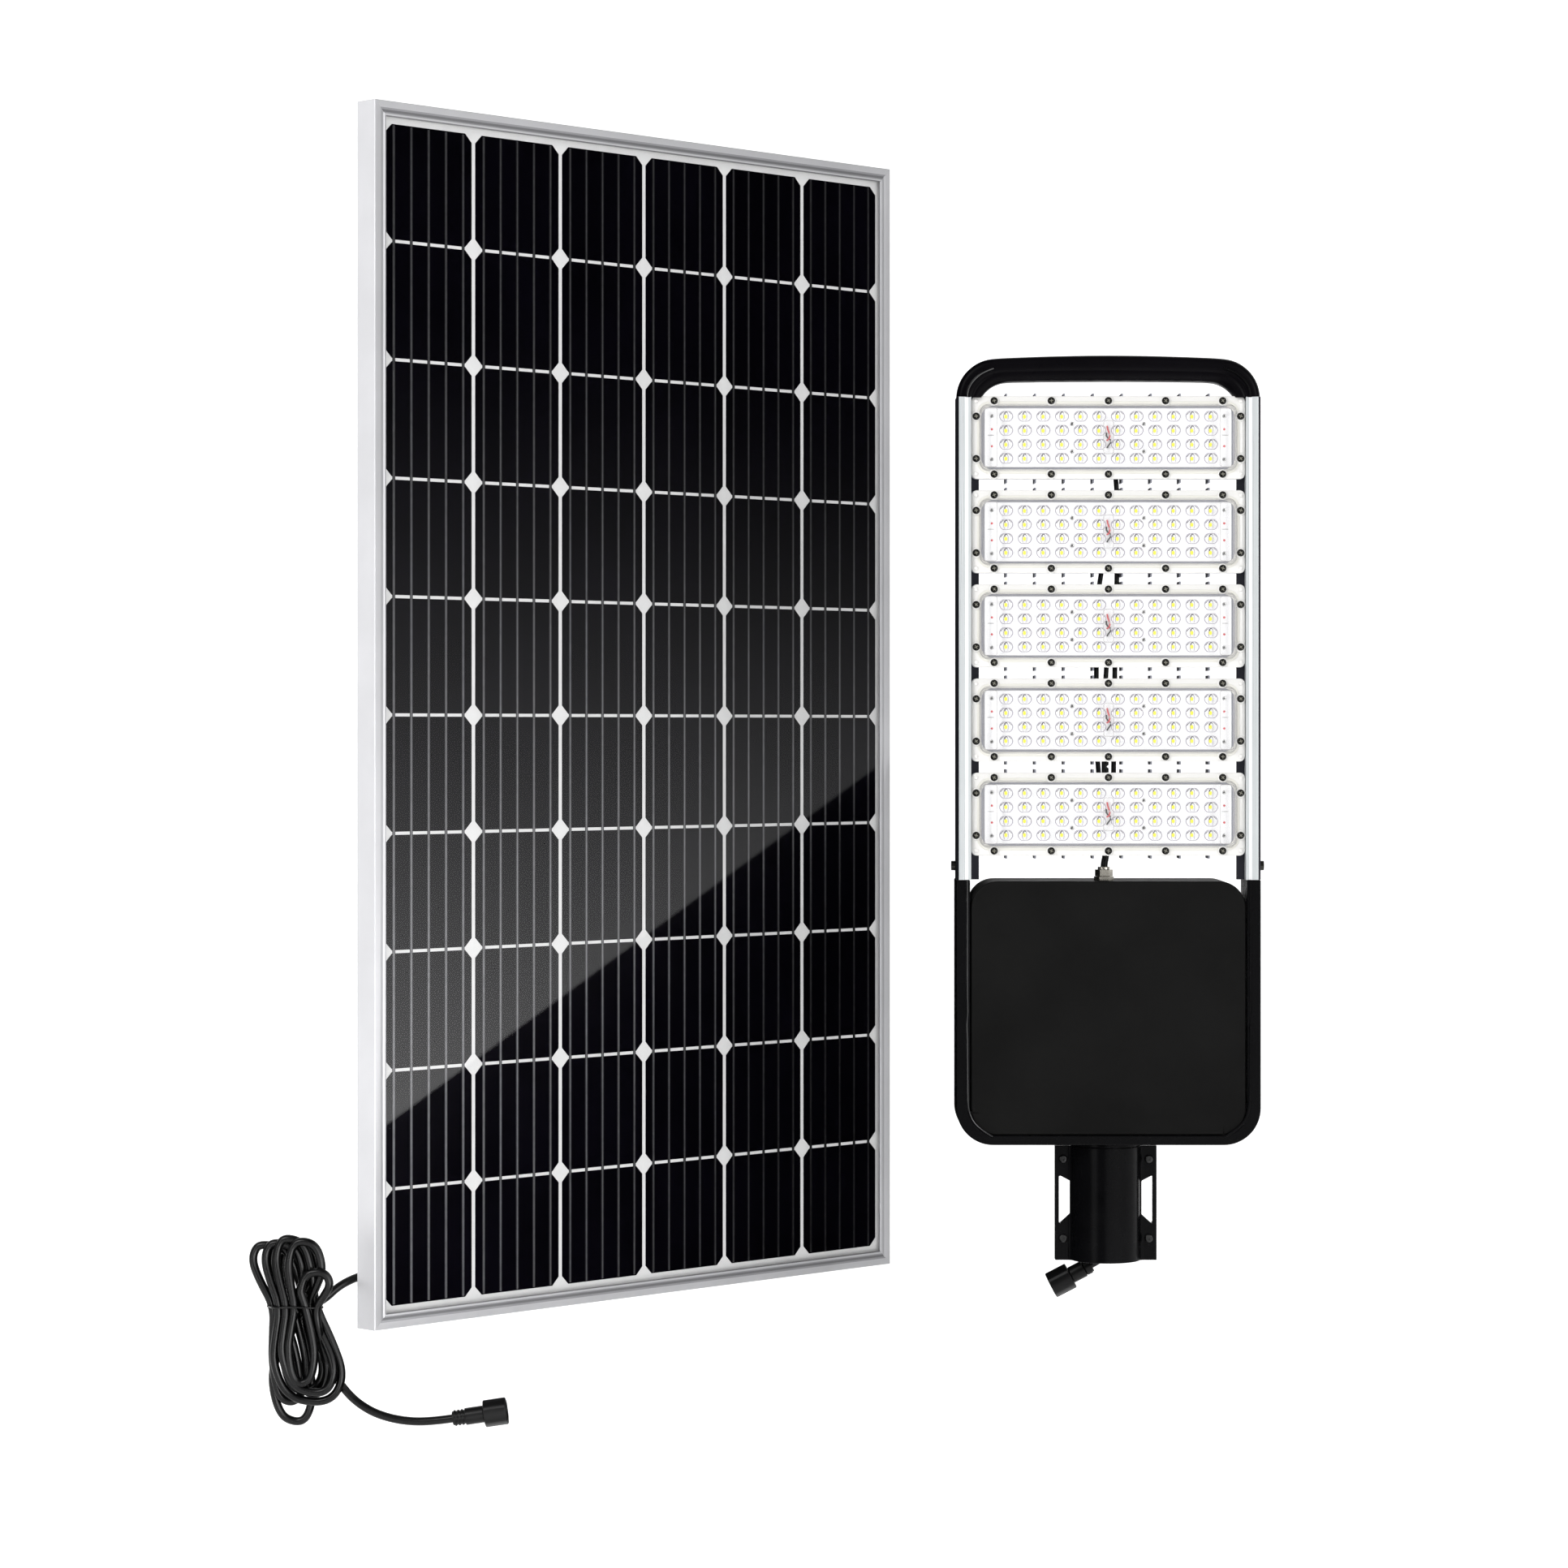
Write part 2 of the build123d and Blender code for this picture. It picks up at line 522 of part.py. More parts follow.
def build_box():
    depth = BOX_BACK - BOX_FRONT
    shell = Pos(0, BOX_BACK, 0) * extrude(Plane.XZ * box_outline(0), depth)
    front_edges = shell.edges().filter_by_position(Axis.Y, BOX_FRONT - 0.1, BOX_FRONT + 0.1)
    shell = fillet(front_edges, 2.0)
    cavity = Pos(0, BOX_BACK + 1, 0) * extrude(Plane.XZ * box_outline(BOX_WALL), depth + 1 - BOX_WALL)
    bosses = []
    holes = []
    for x, z in cover_screw_places():
        bosses.append(rod((x, BOX_BACK - 22, z), (x, BOX_BACK, z), 5.2))
        holes.append(rod((x, BOX_BACK - 14, z), (x, BOX_BACK + 1, z), 1.85))
    solid = Pos(0, BOX_BACK, 0) * extrude(Plane.XZ * box_outline(0.5), depth - 1)
    body = shell - cavity
    body = body + (fuse(bosses) & solid)
    body = body - fuse(holes)
    # Openings for the lead gland in the top and the pigtail gland in the floor.
    body = body - rod((LEAD_GLAND_X, LEAD_GLAND_Y, BOX_TOP - 6), (LEAD_GLAND_X, LEAD_GLAND_Y, BOX_TOP + 1), 6.0)
    body = body - rod((PIGTAIL_X, PIGTAIL_Y, BOX_BOTTOM - 1), (PIGTAIL_X, PIGTAIL_Y, BOX_BOTTOM + 6), 6.0)
    add("box_body", body)

    gasket_depth = 1.2
    ring = box_outline(0.4) - box_outline(BOX_WALL + 9)
    gasket = Pos(0, BOX_BACK + gasket_depth, 0) * extrude(Plane.XZ * ring, gasket_depth)
    cover = Pos(0, BOX_BACK + gasket_depth + BOX_COVER, 0) * extrude(Plane.XZ * box_outline(0), BOX_COVER)
    screws = []
    for x, z in cover_screw_places():
        clearance = rod((x, BOX_BACK - 1, z), (x, BOX_BACK + 9, z), 2.2)
        gasket = gasket - clearance
        cover = cover - clearance
        top = BOX_BACK + gasket_depth + BOX_COVER
        screws.append(rod((x, BOX_BACK - 10, z), (x, top, z), 1.8) + rod((x, top, z), (x, top + 2.6, z), 3.8))
    add("box_gasket", gasket)
    add("box_rear_cover", cover)
    add("box_screws", Compound(children=screws))

    cells = []
    cell_radius = 16.0
    for layer_y in (-21.5, 12.5):
        for row_z in (188.0, 262.0):
            for column in range(8):
                x = (column - 3.5) * 33.2
                cells.append(rod((x, layer_y, row_z - 35), (x, layer_y, row_z + 35), cell_radius))
    add("battery_pack", Compound(children=cells))
    board = block(-100, 100, BOX_FRONT + 10, BOX_FRONT + 11.6, 308, 398)
    parts = [board]
    for x, z, w, h, d in ((-62, 330, 44, 26, 14), (-6, 372, 22, 22, 18), (44, 330, 30, 18, 12), (66, 372, 16, 30, 20)):
        parts.append(block(x - w / 2, x + w / 2, BOX_FRONT + 11.6, BOX_FRONT + 11.6 + d, z - h / 2, z + h / 2))
    for x, z in ((-94, 314), (94, 314), (-94, 392), (94, 392)):
        parts.append(rod((x, BOX_FRONT + BOX_WALL, z), (x, BOX_FRONT + 10.5, z), 3.0))
    add("charge_controller", fuse(parts))


# ---------------------------------------------------------------- leads and glands of the lamp
LEAD_GLAND_X = -3.0
LEAD_GLAND_Y = -15.0
PIGTAIL_X = 10.0
PIGTAIL_Y = 48.0
SPLITTER_BOTTOM = 452.0
TRUNK_DIAMETER = 8.0
TRUNK_POINTS = [(-3.0, -15.0, 400.0), (-3.0, -15.0, 433.0), (-0.5, -15.0, 443.0), (-0.5, -15.0, 456.0)]
# The upper four modules' leads, each from its module's back down to the splitter.
MODULE_LEAD_ROUTES = [
    [(8.0, -17.4, 892.0), (9.0, -17.4, 860.0), (11.4, -17.4, 838.0), (11.4, -17.4, 745.0),
     (9.0, -17.4, 690.0), (8.8, -17.4, 640.0), (7.6, -17.4, 539.0), (6.2, -17.4, 470.0)],
    [(-2.0, -12.6, 790.0), (-4.5, -12.6, 757.0), (-9.0, -12.6, 731.0), (-10.8, -12.6, 690.0),
     (-11.2, -12.6, 565.0), (-9.0, -12.6, 539.0), (-7.0, -12.6, 512.0), (-7.0, -12.6, 470.0)],
    [(1.0, -17.4, 688.0), (0.2, -17.4, 655.0), (-1.6, -17.4, 630.0), (-3.2, -17.4, 539.0), (-3.2, -17.4, 470.0)],
    [(0.5, -12.6, 586.0), (-0.5, -12.6, 545.0), (0.3, -12.6, 515.0), (0.3, -12.6, 470.0)],
]
# Route of the short cable that hangs behind the clamp.
PIGTAIL_POINTS = [
    (10.0, 48.0, 113.0),
    (10.0, 48.5, 93.0),
    (11.5, 49.0, 66.0),
    (12.5, 50.0, 39.0),
    (11.5, 51.0, 14.5),
    (4.0, 52.0, -4.2),
    (-11.8, 52.5, -12.5),
]


def build_lamp_cables():
    # Lead gland in the box's top: body, coupling nut, and the trunk cable through both.
    x, y = LEAD_GLAND_X, LEAD_GLAND_Y
    body = rod((x, y, BOX_TOP - 8), (x, y, BOX_TOP), 5.95) + hexagon((x, y, BOX_TOP), (x, y, BOX_TOP + 4.5), 19)
    body = body + rod((x, y, BOX_TOP + 4.5), (x, y, BOX_TOP + 9), 6.5)
    nut = hexagon((x, y, BOX_TOP + 4.7), (x, y, BOX_TOP + 12), 17) + rod(
        (x, y, BOX_TOP + 12), (x, y, BOX_TOP + 15), 6.6)
    bore = rod((x, y, BOX_TOP - 9), (x, y, BOX_TOP + 30), 4.1)
    body = body - bore
    nut = nut - rod((x, y, BOX_TOP), (x, y, BOX_TOP + 9.2), 6.6) - bore
    add("lead_gland_body", body)
    add("lead_gland_nut", nut)

    splitter = block(x - 11, x + 13, y - 6, y + 6, SPLITTER_BOTTOM, SPLITTER_BOTTOM + 22)
    wires = [cable(TRUNK_POINTS, TRUNK_DIAMETER, "trunk"), fillet(splitter.edges().filter_by(Axis.Z), 4.0)]
    for route in MODULE_LEAD_ROUTES:
        wires.append(cable(route, LEAD_WIRE_DIAMETER, "module lead"))
    for z, route in zip(module_centres(), MODULE_LEAD_ROUTES + [[(4.0, -15.0, 0.0)]]):
        wire_x = route[0][0]
        wires.append(block(wire_x - 4, wire_x + 4, PLATE_FRONT + PLATE_THICKNESS, y + 6, z - 6, z + 6))
    add("module_leads", fuse(wires))

    x, y = PIGTAIL_X, PIGTAIL_Y
    gland = rod((x, y, BOX_BOTTOM + 6), (x, y, BOX_BOTTOM), 5.95)
    gland = gland + hexagon((x, y, BOX_BOTTOM), (x, y, BOX_BOTTOM - 5), 15)
    gland = gland + rod((x, y, BOX_BOTTOM - 5), (x, y, PIGTAIL_POINTS[0][2]), 6.8)
    gland = gland - rod((x, y, BOX_BOTTOM + 7), (x, y, PIGTAIL_POINTS[0][2] + 8), 4.05)
    gland = gland - rod((x, y, BOX_BOTTOM), (x, y, PIGTAIL_POINTS[0][2] - 1), 4.05)
    add("pigtail_gland", gland)
    add("pigtail_cable", cable(PIGTAIL_POINTS, PIGTAIL_DIAMETER, "pigtail"))
    end = Vector(*PIGTAIL_POINTS[-1])
    heading = end - Vector(*PIGTAIL_POINTS[-2])
    pins = connector(tuple(end), tuple(heading), "pigtail", (9.0, 16.0, 0.4))
    body = NODES["pigtail_connector_body"]
    add("pigtail_connector_body", Compound(children=[body] + pins))


# ---------------------------------------------------------------- LED modules
def module_centres():
    return [MODULE_TOP_CENTRE - MODULE_PITCH * index for index in range(MODULE_COUNT)]


def module_screw_places():
    places = []
    for x in (-124, -62, 0, 62, 124):
        places.append((x, MODULE_HEIGHT / 2 - 5.2))
        places.append((x, 5.2 - MODULE_HEIGHT / 2))
    for z in (-23, 23):
        places.append((-MODULE_WIDTH / 2 + 5.0, z))
        places.append((MODULE_WIDTH / 2 - 5.0, z))
    return places


def build_modules():
    cover_back = PLATE_FRONT - 2.0
    flange_front = cover_back - 3.0
    plateau_front = cover_back - 7.0
    holes = [rod((x, PLATE_FRONT - 9, z), (x, PLATE_FRONT + 9, z), 1.75) for x, z in module_screw_places()]
    tapped = fuse(holes)

    plate = slab(MODULE_WIDTH, MODULE_HEIGHT, 5, PLATE_FRONT, PLATE_FRONT + PLATE_THICKNESS)
    fins = []
    fin_front = PLATE_FRONT + PLATE_THICKNESS - 0.2
    fin_back = PLATE_FRONT + PLATE_THICKNESS + FIN_DEPTH
    for index in range(4):
        long_x = FIN_PITCH * (index + 0.5)
        short_x = FIN_PITCH * (index + 1)
        for side in (-1, 1):
            a = side * long_x - FIN_THICKNESS / 2
            fins.append(block(a, a + FIN_THICKNESS, fin_front, fin_back, -48.5, 48.5))
            b = side * short_x - FIN_THICKNESS / 2
            fins.append(block(b, b + FIN_THICKNESS, fin_front, fin_back - 5, -43, 43))
    sink = fuse([plate] + fins) - tapped
    for x in (-144, 144):
        for z in (-28, 28):
            sink = sink - rod((x, PLATE_FRONT + 1.2, z), (x, PLATE_FRONT + 9, z), 1.85)

    board = slab(268, 64, 3, PLATE_FRONT - 1.6, PLATE_FRONT)
    leds = []
    for row in range(LENS_ROWS):
        for column in range(LENS_COLUMNS):
            x = (column - (LENS_COLUMNS - 1) / 2) * LENS_PITCH_X
            z = (row - (LENS_ROWS - 1) / 2) * LENS_PITCH_Z
            leds.append(block(x - 1.6, x + 1.6, PLATE_FRONT - 2.4, PLATE_FRONT - 1.5, z - 1.6, z + 1.6))
    board = board + leds

    gasket = slab(MODULE_WIDTH - 14, MODULE_HEIGHT - 14, 16, cover_back, PLATE_FRONT)
    gasket = gasket - slab(MODULE_WIDTH - 21, MODULE_HEIGHT - 21, 13, cover_back - 1, PLATE_FRONT + 1)
    gasket = gasket - tapped

    cover = slab(MODULE_WIDTH, MODULE_HEIGHT, 6, flange_front, cover_back)
    cover = cover + slab(270, 66, 8, plateau_front, cover_back)
    for x in (-126.3, 126.3):
        cover = cover + slab(14, 63, 3, plateau_front - 3, cover_back, 0, x)
    cover = cover + slab(11, 36, 5, plateau_front - 4, cover_back)
    cover = cover - slab(267, 63, 6.5, plateau_front + 1.5, cover_back + 1)
    cover = cover - tapped

    screws = []
    gaskets = []
    fixings = []
    for number, z in enumerate(module_centres(), 1):
        place = Pos(0, 0, z)
        add("heat_sink_%d" % number, place * sink)
        add("led_board_%d" % number, place * board)
        add("lens_cover_%d" % number, place * cover)
        gaskets.append(place * gasket)
        for x, dz in module_screw_places():
            shank = rod((x, flange_front, z + dz), (x, PLATE_FRONT + 3.5, z + dz), 1.7)
            head = rod((x, flange_front - 2.8, z + dz), (x, flange_front, z + dz), 4.0)
            rim = head.edges().filter_by_position(Axis.Y, flange_front - 2.9, flange_front - 2.7)
            screws.append(shank + fillet(rim, 1.6))
        back = PLATE_FRONT + PLATE_THICKNESS + 2.0
        for x in (-144, 144):
            for dz in (-28, 28):
                fixings.append(rod((x, PLATE_FRONT + 1.6, z + dz), (x, back, z + dz), 1.8)
                               + rod((x, back, z + dz), (x, back + 2.4, z + dz), 3.4))
    add("module_screws", Compound(children=screws))
    add("module_gaskets", Compound(children=gaskets))
    add("module_fixing_screws", Compound(children=fixings))


# ---------------------------------------------------------------- pole clamp
def half_shell(side, split_gap):
    """One half of the clamp: a half tube with two bolting flanges. side -1 is the front half."""
    outer = POLE_RADIUS + SHELL_WALL
    ring = Circle(outer) - Circle(POLE_RADIUS)
    keep = Pos(0, side * (outer + split_gap)) * Rectangle(4 * outer, 2 * outer)
    shell = extrude(ring & keep, CLAMP_HEIGHT)
    flange_y0, flange_y1 = sorted((side * split_gap, side * (split_gap + 5.0)))
    for x_side in (-1, 1):
        low, high = sorted((x_side * (POLE_RADIUS + 0.6), x_side * CLAMP_HALF))
        shell = shell + block(low, high, flange_y0, flange_y1, 0, CLAMP_HEIGHT)
    corner_x = math.sqrt(outer ** 2 - (split_gap + 5.0) ** 2)
    corners = [edge for edge in shell.edges().filter_by(Axis.Z)
               if abs(abs(edge.center().X) - corner_x) < 0.2
               and abs(edge.center().Y - side * (split_gap + 5.0)) < 0.2]
    shell = fillet(corners, CLAMP_FILLET)
    for x_side in (-1, 1):
        outline = Polyline(*[(x_side * x, z) for x, z in CLAMP_WINDOW], close=True)
        window = fillet(make_face(outline).vertices(), WINDOW_RADIUS)
        shell = shell - Pos(0, 20, 0) * Rot(90, 0, 0) * extrude(window, 40)
    bore = Pos(0, 0, -1) * extrude(Circle(POLE_RADIUS), CLAMP_HEIGHT + 2)
    return shell - bore


def build_clamp():
    gap = 0.5
    front = half_shell(-1, gap)
    rear = half_shell(1, gap)
    bolts = []
    nuts = []
    for x in (-CLAMP_BOLT_X, CLAMP_BOLT_X):
        for z in CLAMP_BOLT_Z:
            front = front - rod((x, -10, z), (x, 1, z), CLAMP_BOLT_RADIUS + 0.05)
            rear = rear - rod((x, -1, z), (x, 10, z), CLAMP_BOLT_RADIUS + 0.5)
            face = -(gap + 5.0)
            head = rod((x, face - 2.8, z), (x, face, z), CLAMP_BOLT_HEAD)
            rim = head.edges().filter_by_position(Axis.Y, face - 2.9, face - 2.7)
            head = fillet(rim, 1.8)
            socket = hexagon((x, face - 4, z), (x, face - 1.4, z), 3.0)
            shank = rod((x, face, z), (x, 24.0, z), CLAMP_BOLT_RADIUS)
            bolts.append((head - socket) + shank)
            nut = hexagon((x, gap + 5.0, z), (x, gap + 9.7, z), 8.0)
            nuts.append(nut - rod((x, 0, z), (x, 30, z), CLAMP_BOLT_RADIUS + 0.05))
    # The rear half carries the pole's end stop, which is screwed to the frame above it.
    front = front - Pos(0, 0, CLAMP_HEIGHT - 0.3) * extrude(Circle(3 * POLE_RADIUS), 2)
    stop = Pos(0, 0, CLAMP_HEIGHT) * extrude(Circle(POLE_RADIUS + SHELL_WALL), STOP_THICKNESS)
    rear = rear + stop
    fixings = []
    for x in STOP_SCREW_X:
        for y in STOP_SCREW_Y:
            seat = CLAMP_HEIGHT + 2.6
            rear = rear - rod((x, y, seat - 1), (x, y, UFRAME_BOTTOM + 1), 2.7)
            rear = rear - rod((x, y, CLAMP_HEIGHT - 1), (x, y, seat), 4.7)
            shank = rod((x, y, seat), (x, y, UFRAME_BOTTOM + 8), 2.5)
            fixings.append(shank + rod((x, y, seat - 2.2), (x, y, seat), 4.5))
    add("clamp_front_shell", front)
    add("clamp_rear_shell", rear)
    add("clamp_bolts", Compound(children=bolts))
    add("clamp_nuts", Compound(children=nuts))
    add("clamp_fixing_screws", Compound(children=fixings))


panel_back = build_panel()
build_junction_box(panel_back)
build_panel_cable()
build_rails()
build_arch()
build_uframe()
build_box()
build_lamp_cables()
build_modules()
build_clamp()
for name, shape in NODES.items():
    export_step(shape, "parts/%s.step" % name)
print(len(NODES), "nodes")
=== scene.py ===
"""Looks of the solar street lamp kit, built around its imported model. Lengths are in metres."""
import bmesh
import bpy
import math
import random
from mathutils import Matrix, Vector


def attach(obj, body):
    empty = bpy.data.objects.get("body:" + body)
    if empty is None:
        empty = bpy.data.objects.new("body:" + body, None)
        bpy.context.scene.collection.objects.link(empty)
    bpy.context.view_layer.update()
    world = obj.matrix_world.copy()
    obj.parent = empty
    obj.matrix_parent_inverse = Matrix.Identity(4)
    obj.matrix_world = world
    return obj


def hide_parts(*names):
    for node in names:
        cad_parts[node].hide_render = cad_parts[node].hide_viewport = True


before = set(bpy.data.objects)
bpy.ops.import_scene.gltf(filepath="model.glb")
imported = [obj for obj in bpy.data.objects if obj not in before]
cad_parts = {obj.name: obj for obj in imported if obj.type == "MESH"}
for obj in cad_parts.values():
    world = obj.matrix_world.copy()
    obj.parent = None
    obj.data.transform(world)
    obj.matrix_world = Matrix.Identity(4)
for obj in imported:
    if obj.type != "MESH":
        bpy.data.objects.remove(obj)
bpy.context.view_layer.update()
scene = bpy.context.scene
random.seed(7)

MM = 0.001
PANEL_CORNER = Vector((-0.7956, -0.045, -0.072))
PANEL_TURN = math.radians(44.8)
PANEL_WIDTH = 0.808
PANEL_HEIGHT = 1.336
PANEL_FRAME = Matrix.Translation(PANEL_CORNER) @ Matrix.Rotation(PANEL_TURN, 4, "Z")
MODULES = range(1, 6)


# ------ material helpers
class Shader:
    """A material with one Principled shader and short ways to add nodes to it."""

    def __init__(self, name, color, roughness, metallic=0.0, **sockets):
        self.material = bpy.data.materials.new(name)
        self.material.use_nodes = True
        self.tree = self.material.node_tree
        self.principled = self.tree.nodes["Principled BSDF"]
        self.output = self.tree.nodes["Material Output"]
        self.set("Base Color", (*color, 1.0))
        self.set("Roughness", roughness)
        self.set("Metallic", metallic)
        for key, value in sockets.items():
            self.set(key.replace("_", " "), value)
        self.place = self.tree.nodes.new("ShaderNodeTexCoord").outputs["Object"]

    def set(self, socket, value):
        self.principled.inputs[socket].default_value = value

    def feed(self, socket, value):
        """A socket gets a link or a plain value."""
        if isinstance(value, bpy.types.NodeSocket):
            self.tree.links.new(value, socket)
        else:
            socket.default_value = value

    def node(self, kind, **inputs):
        made = self.tree.nodes.new(kind)
        for key, value in inputs.items():
            self.feed(made.inputs[key.replace("_", " ")], value)
        return made

    def combine(self, operation, first, second):
        """The result of a Math node with two inputs."""
        made = self.tree.nodes.new("ShaderNodeMath")
        made.operation = operation
        self.feed(made.inputs[0], first)
        self.feed(made.inputs[1], second)
        return made.outputs[0]

    def link(self, source, socket):
        self.tree.links.new(source, self.principled.inputs[socket])

    def stretched(self, scale):
        return self.node("ShaderNodeMapping", Scale=scale, Vector=self.place).outputs["Vector"]

    def noise(self, scale, detail=3.0, vector=None):
        made = self.node("ShaderNodeTexNoise", Scale=scale, Detail=detail, Vector=vector or self.place)
        return made.outputs["Fac"]

    def spread(self, value, low, high, start=0.3, end=0.7):
        """A value's middle range, spread from low to high."""
        made = self.node("ShaderNodeMapRange", Value=value, From_Min=start, From_Max=end,
                         To_Min=low, To_Max=high)
        return made.outputs["Result"]

    def tones(self, value, first, second):
        """The base colour goes from one tone to another with a value."""
        made = self.tree.nodes.new("ShaderNodeMix")
        made.data_type = "RGBA"
        self.tree.links.new(self.spread(value, 0.0, 1.0, 0.35, 0.65), made.inputs["Factor"])
        made.inputs["A"].default_value = (*first, 1.0)
        made.inputs["B"].default_value = (*second, 1.0)
        self.link(made.outputs["Result"], "Base Color")

    def rough(self, value, low, high):
        self.link(self.spread(value, low, high), "Roughness")

    def bump(self, value, strength, distance):
        made = self.node("ShaderNodeBump", Height=value, Strength=strength, Distance=distance)
        self.link(made.outputs["Normal"], "Normal")

    def see_through(self, clear, index):
        """Clear plastic or glass: what lies behind shows through, and the surface only adds gloss."""
        fresnel = self.node("ShaderNodeFresnel", IOR=index).outputs["Fac"]
        behind = self.tree.nodes.new("ShaderNodeNewGeometry").outputs["Backfacing"]
        gloss = self.combine("MULTIPLY", fresnel, self.combine("SUBTRACT", 1.0, behind))
        share = self.combine("ADD", gloss, 1.0 - clear)
        share.node.use_clamp = True
        window = self.tree.nodes.new("ShaderNodeBsdfTransparent")
        mix = self.node("ShaderNodeMixShader", Fac=share)
        self.tree.links.new(window.outputs[0], mix.inputs[1])
        self.tree.links.new(self.principled.outputs[0], mix.inputs[2])
        self.tree.links.new(mix.outputs[0], self.output.inputs["Surface"])


def extruded_aluminium(name, color, roughness, metallic=0.85):
    """Satin metal with fine drawing lines along Z and a slight cloudiness."""
    s = Shader(name, color, roughness, metallic)
    lines = s.noise(1.0, 4.0, s.stretched((900, 900, 6)))
    cloud = s.noise(14.0)
    s.tones(cloud, [c * 0.94 for c in color], color)
    s.rough(lines, roughness - 0.05, roughness + 0.07)
    s.bump(lines, 0.12, 0.00004)
    return s.material


def textured_black(name, color, roughness, grain, depth, shine=0.12):
    """Black plastic or paint with a fine grain."""
    s = Shader(name, color, roughness, Specular_IOR_Level=shine)
    fine = s.noise(grain, 3.0)
    s.tones(s.noise(9.0), [c * 0.8 for c in color], [c * 1.25 for c in color])
    s.rough(s.noise(40.0), roughness - 0.05, roughness + 0.06)
    s.bump(fine, 0.35, depth)
    return s.material


def turned_metal(name, color, roughness):
    """Machined or plated metal with a fine grain."""
    s = Shader(name, color, roughness, 1.0)
    fine = s.noise(700.0, 2.0)
    s.tones(s.noise(120.0), [c * 0.85 for c in color], color)
    s.rough(fine, roughness - 0.04, roughness + 0.08)
    s.bump(fine, 0.1, 0.00003)
    return s.material


def moulded_light(name, color, roughness, **sockets):
    """White or cream film, board or rubber."""
    s = Shader(name, color, roughness, **sockets)
    s.tones(s.noise(30.0), [c * 0.96 for c in color], color)
    s.bump(s.noise(500.0), 0.15, 0.00004)
    return s.material


def clear_sheet(name, clear, index, tint, roughness, metallic=0.0):
    """Glass or clear plastic: how clear it is, its index of refraction, and its gloss layer's tint."""
    s = Shader(name, tint, roughness, metallic)
    s.see_through(clear, index)
    s.bump(s.noise(25.0), 0.05, 0.0002)
    return s.material


ANODISED = extruded_aluminium("anodised_aluminium", (0.66, 0.66, 0.68), 0.34, 0.3)
RAIL = extruded_aluminium("rail_aluminium", (0.67, 0.7, 0.71), 0.3, 0.4)
# Lit and shaded copies of the rail's aluminium: a pale strip of painted highlight and a near-black
# painted shade.
RAIL_PAINTED_HIGHLIGHT = extruded_aluminium("rail_strip", (0.9, 0.91, 0.92), 0.35, 0.3)
RAIL_PAINTED_SHADE = extruded_aluminium("rail_edge", (0.035, 0.035, 0.045), 0.35)
# Darker copies of the frame's aluminium for the lip's bands, groove and inner edge: painted shade.
LIP_PAINTED_SHADE_LIGHT = extruded_aluminium("lip_groove_side", (0.52, 0.52, 0.54), 0.34, 0.3)
LIP_PAINTED_SHADE_MID = extruded_aluminium("lip_slope", (0.4, 0.4, 0.42), 0.34, 0.3)
LIP_PAINTED_SHADE_DEEP = extruded_aluminium("lip_groove", (0.24, 0.24, 0.25), 0.34, 0.3)
LIP_PAINTED_SHADE_INNER = extruded_aluminium("lip_inner_edge", (0.17, 0.17, 0.18), 0.4, 0.3)
SINK = extruded_aluminium("heat_sink_aluminium", (0.45, 0.46, 0.52), 0.42)
GLASS = clear_sheet("solar_glass", 1.0, 1.42, (1.0, 1.0, 1.0), 0.02, 1.0)
CLEAR = clear_sheet("clear_polycarbonate", 0.98, 1.45, (0.9, 0.9, 0.92), 0.08)
FROSTED = clear_sheet("frosted_polycarbonate", 0.25, 1.45, (0.87, 0.86, 0.84), 0.16)
GASKET_BAND = moulded_light("gasket_band", (0.66, 0.65, 0.6), 0.5)
LENS_LINE = clear_sheet("lens_rim", 0.05, 1.45, (0.16, 0.13, 0.2), 0.12)
# Near-opaque dark streaks on the clear lenses: painted reflection.
LENS_PAINTED_REFLECTION = clear_sheet("lens_facet", 0.02, 1.45, (0.03, 0.03, 0.038), 0.12)
# The unlit LEDs' yellow phosphor glows faintly: painted light that deepens its yellow.
LED_PAINTED_GLOW = moulded_light("led_phosphor", (0.9, 0.85, 0.0), 0.45,
                          Emission_Color=(1.0, 0.95, 0.0, 1.0), Emission_Strength=0.3)
RED_MARK = moulded_light("red_wire", (0.62, 0.04, 0.05), 0.4)
SILICON = textured_black("silicon_cells", (0.0013, 0.001, 0.0026), 0.35, 600.0, 0.00001, 0.03)
# The busbars' brighter core is a painted highlight on the darker busbar metal.
BAR_CORE_PAINTED_HIGHLIGHT = turned_metal("busbars", (0.24, 0.24, 0.25), 0.5)
BUSBAR_EDGE = turned_metal("busbar_edges", (0.075, 0.075, 0.08), 0.5)
BACKSHEET = moulded_light("white_backsheet", (0.8, 0.8, 0.8), 0.55)
JACKET = textured_black("cable_jacket", (0.0016, 0.0016, 0.0018), 0.26, 500.0, 0.00003, 0.22)
PLUG_PLASTIC = textured_black("connector_plastic", (0.0028, 0.0028, 0.003), 0.34, 700.0, 0.00004, 0.18)
GLOSS_LIP = textured_black("gloss_lip", (0.003, 0.003, 0.0036), 0.16, 500.0, 0.00001, 1.0)
ARCH_PLASTIC = textured_black("arch_plastic", (0.0018, 0.0015, 0.0023), 0.3, 900.0, 0.00003, 0.06)
FRAME_PAINT = textured_black("frame_paint", (0.002, 0.002, 0.0024), 0.26, 700.0, 0.00002, 0.08)
BOX_PAINT = textured_black("box_paint", (0.0045, 0.0045, 0.0044), 0.55, 900.0, 0.0001, 0.08)
BOX_PLASTIC = textured_black("black_plastic", (0.014, 0.014, 0.015), 0.45, 700.0, 0.00005)
STEEL = turned_metal("steel_screws", (0.55, 0.55, 0.54), 0.3)
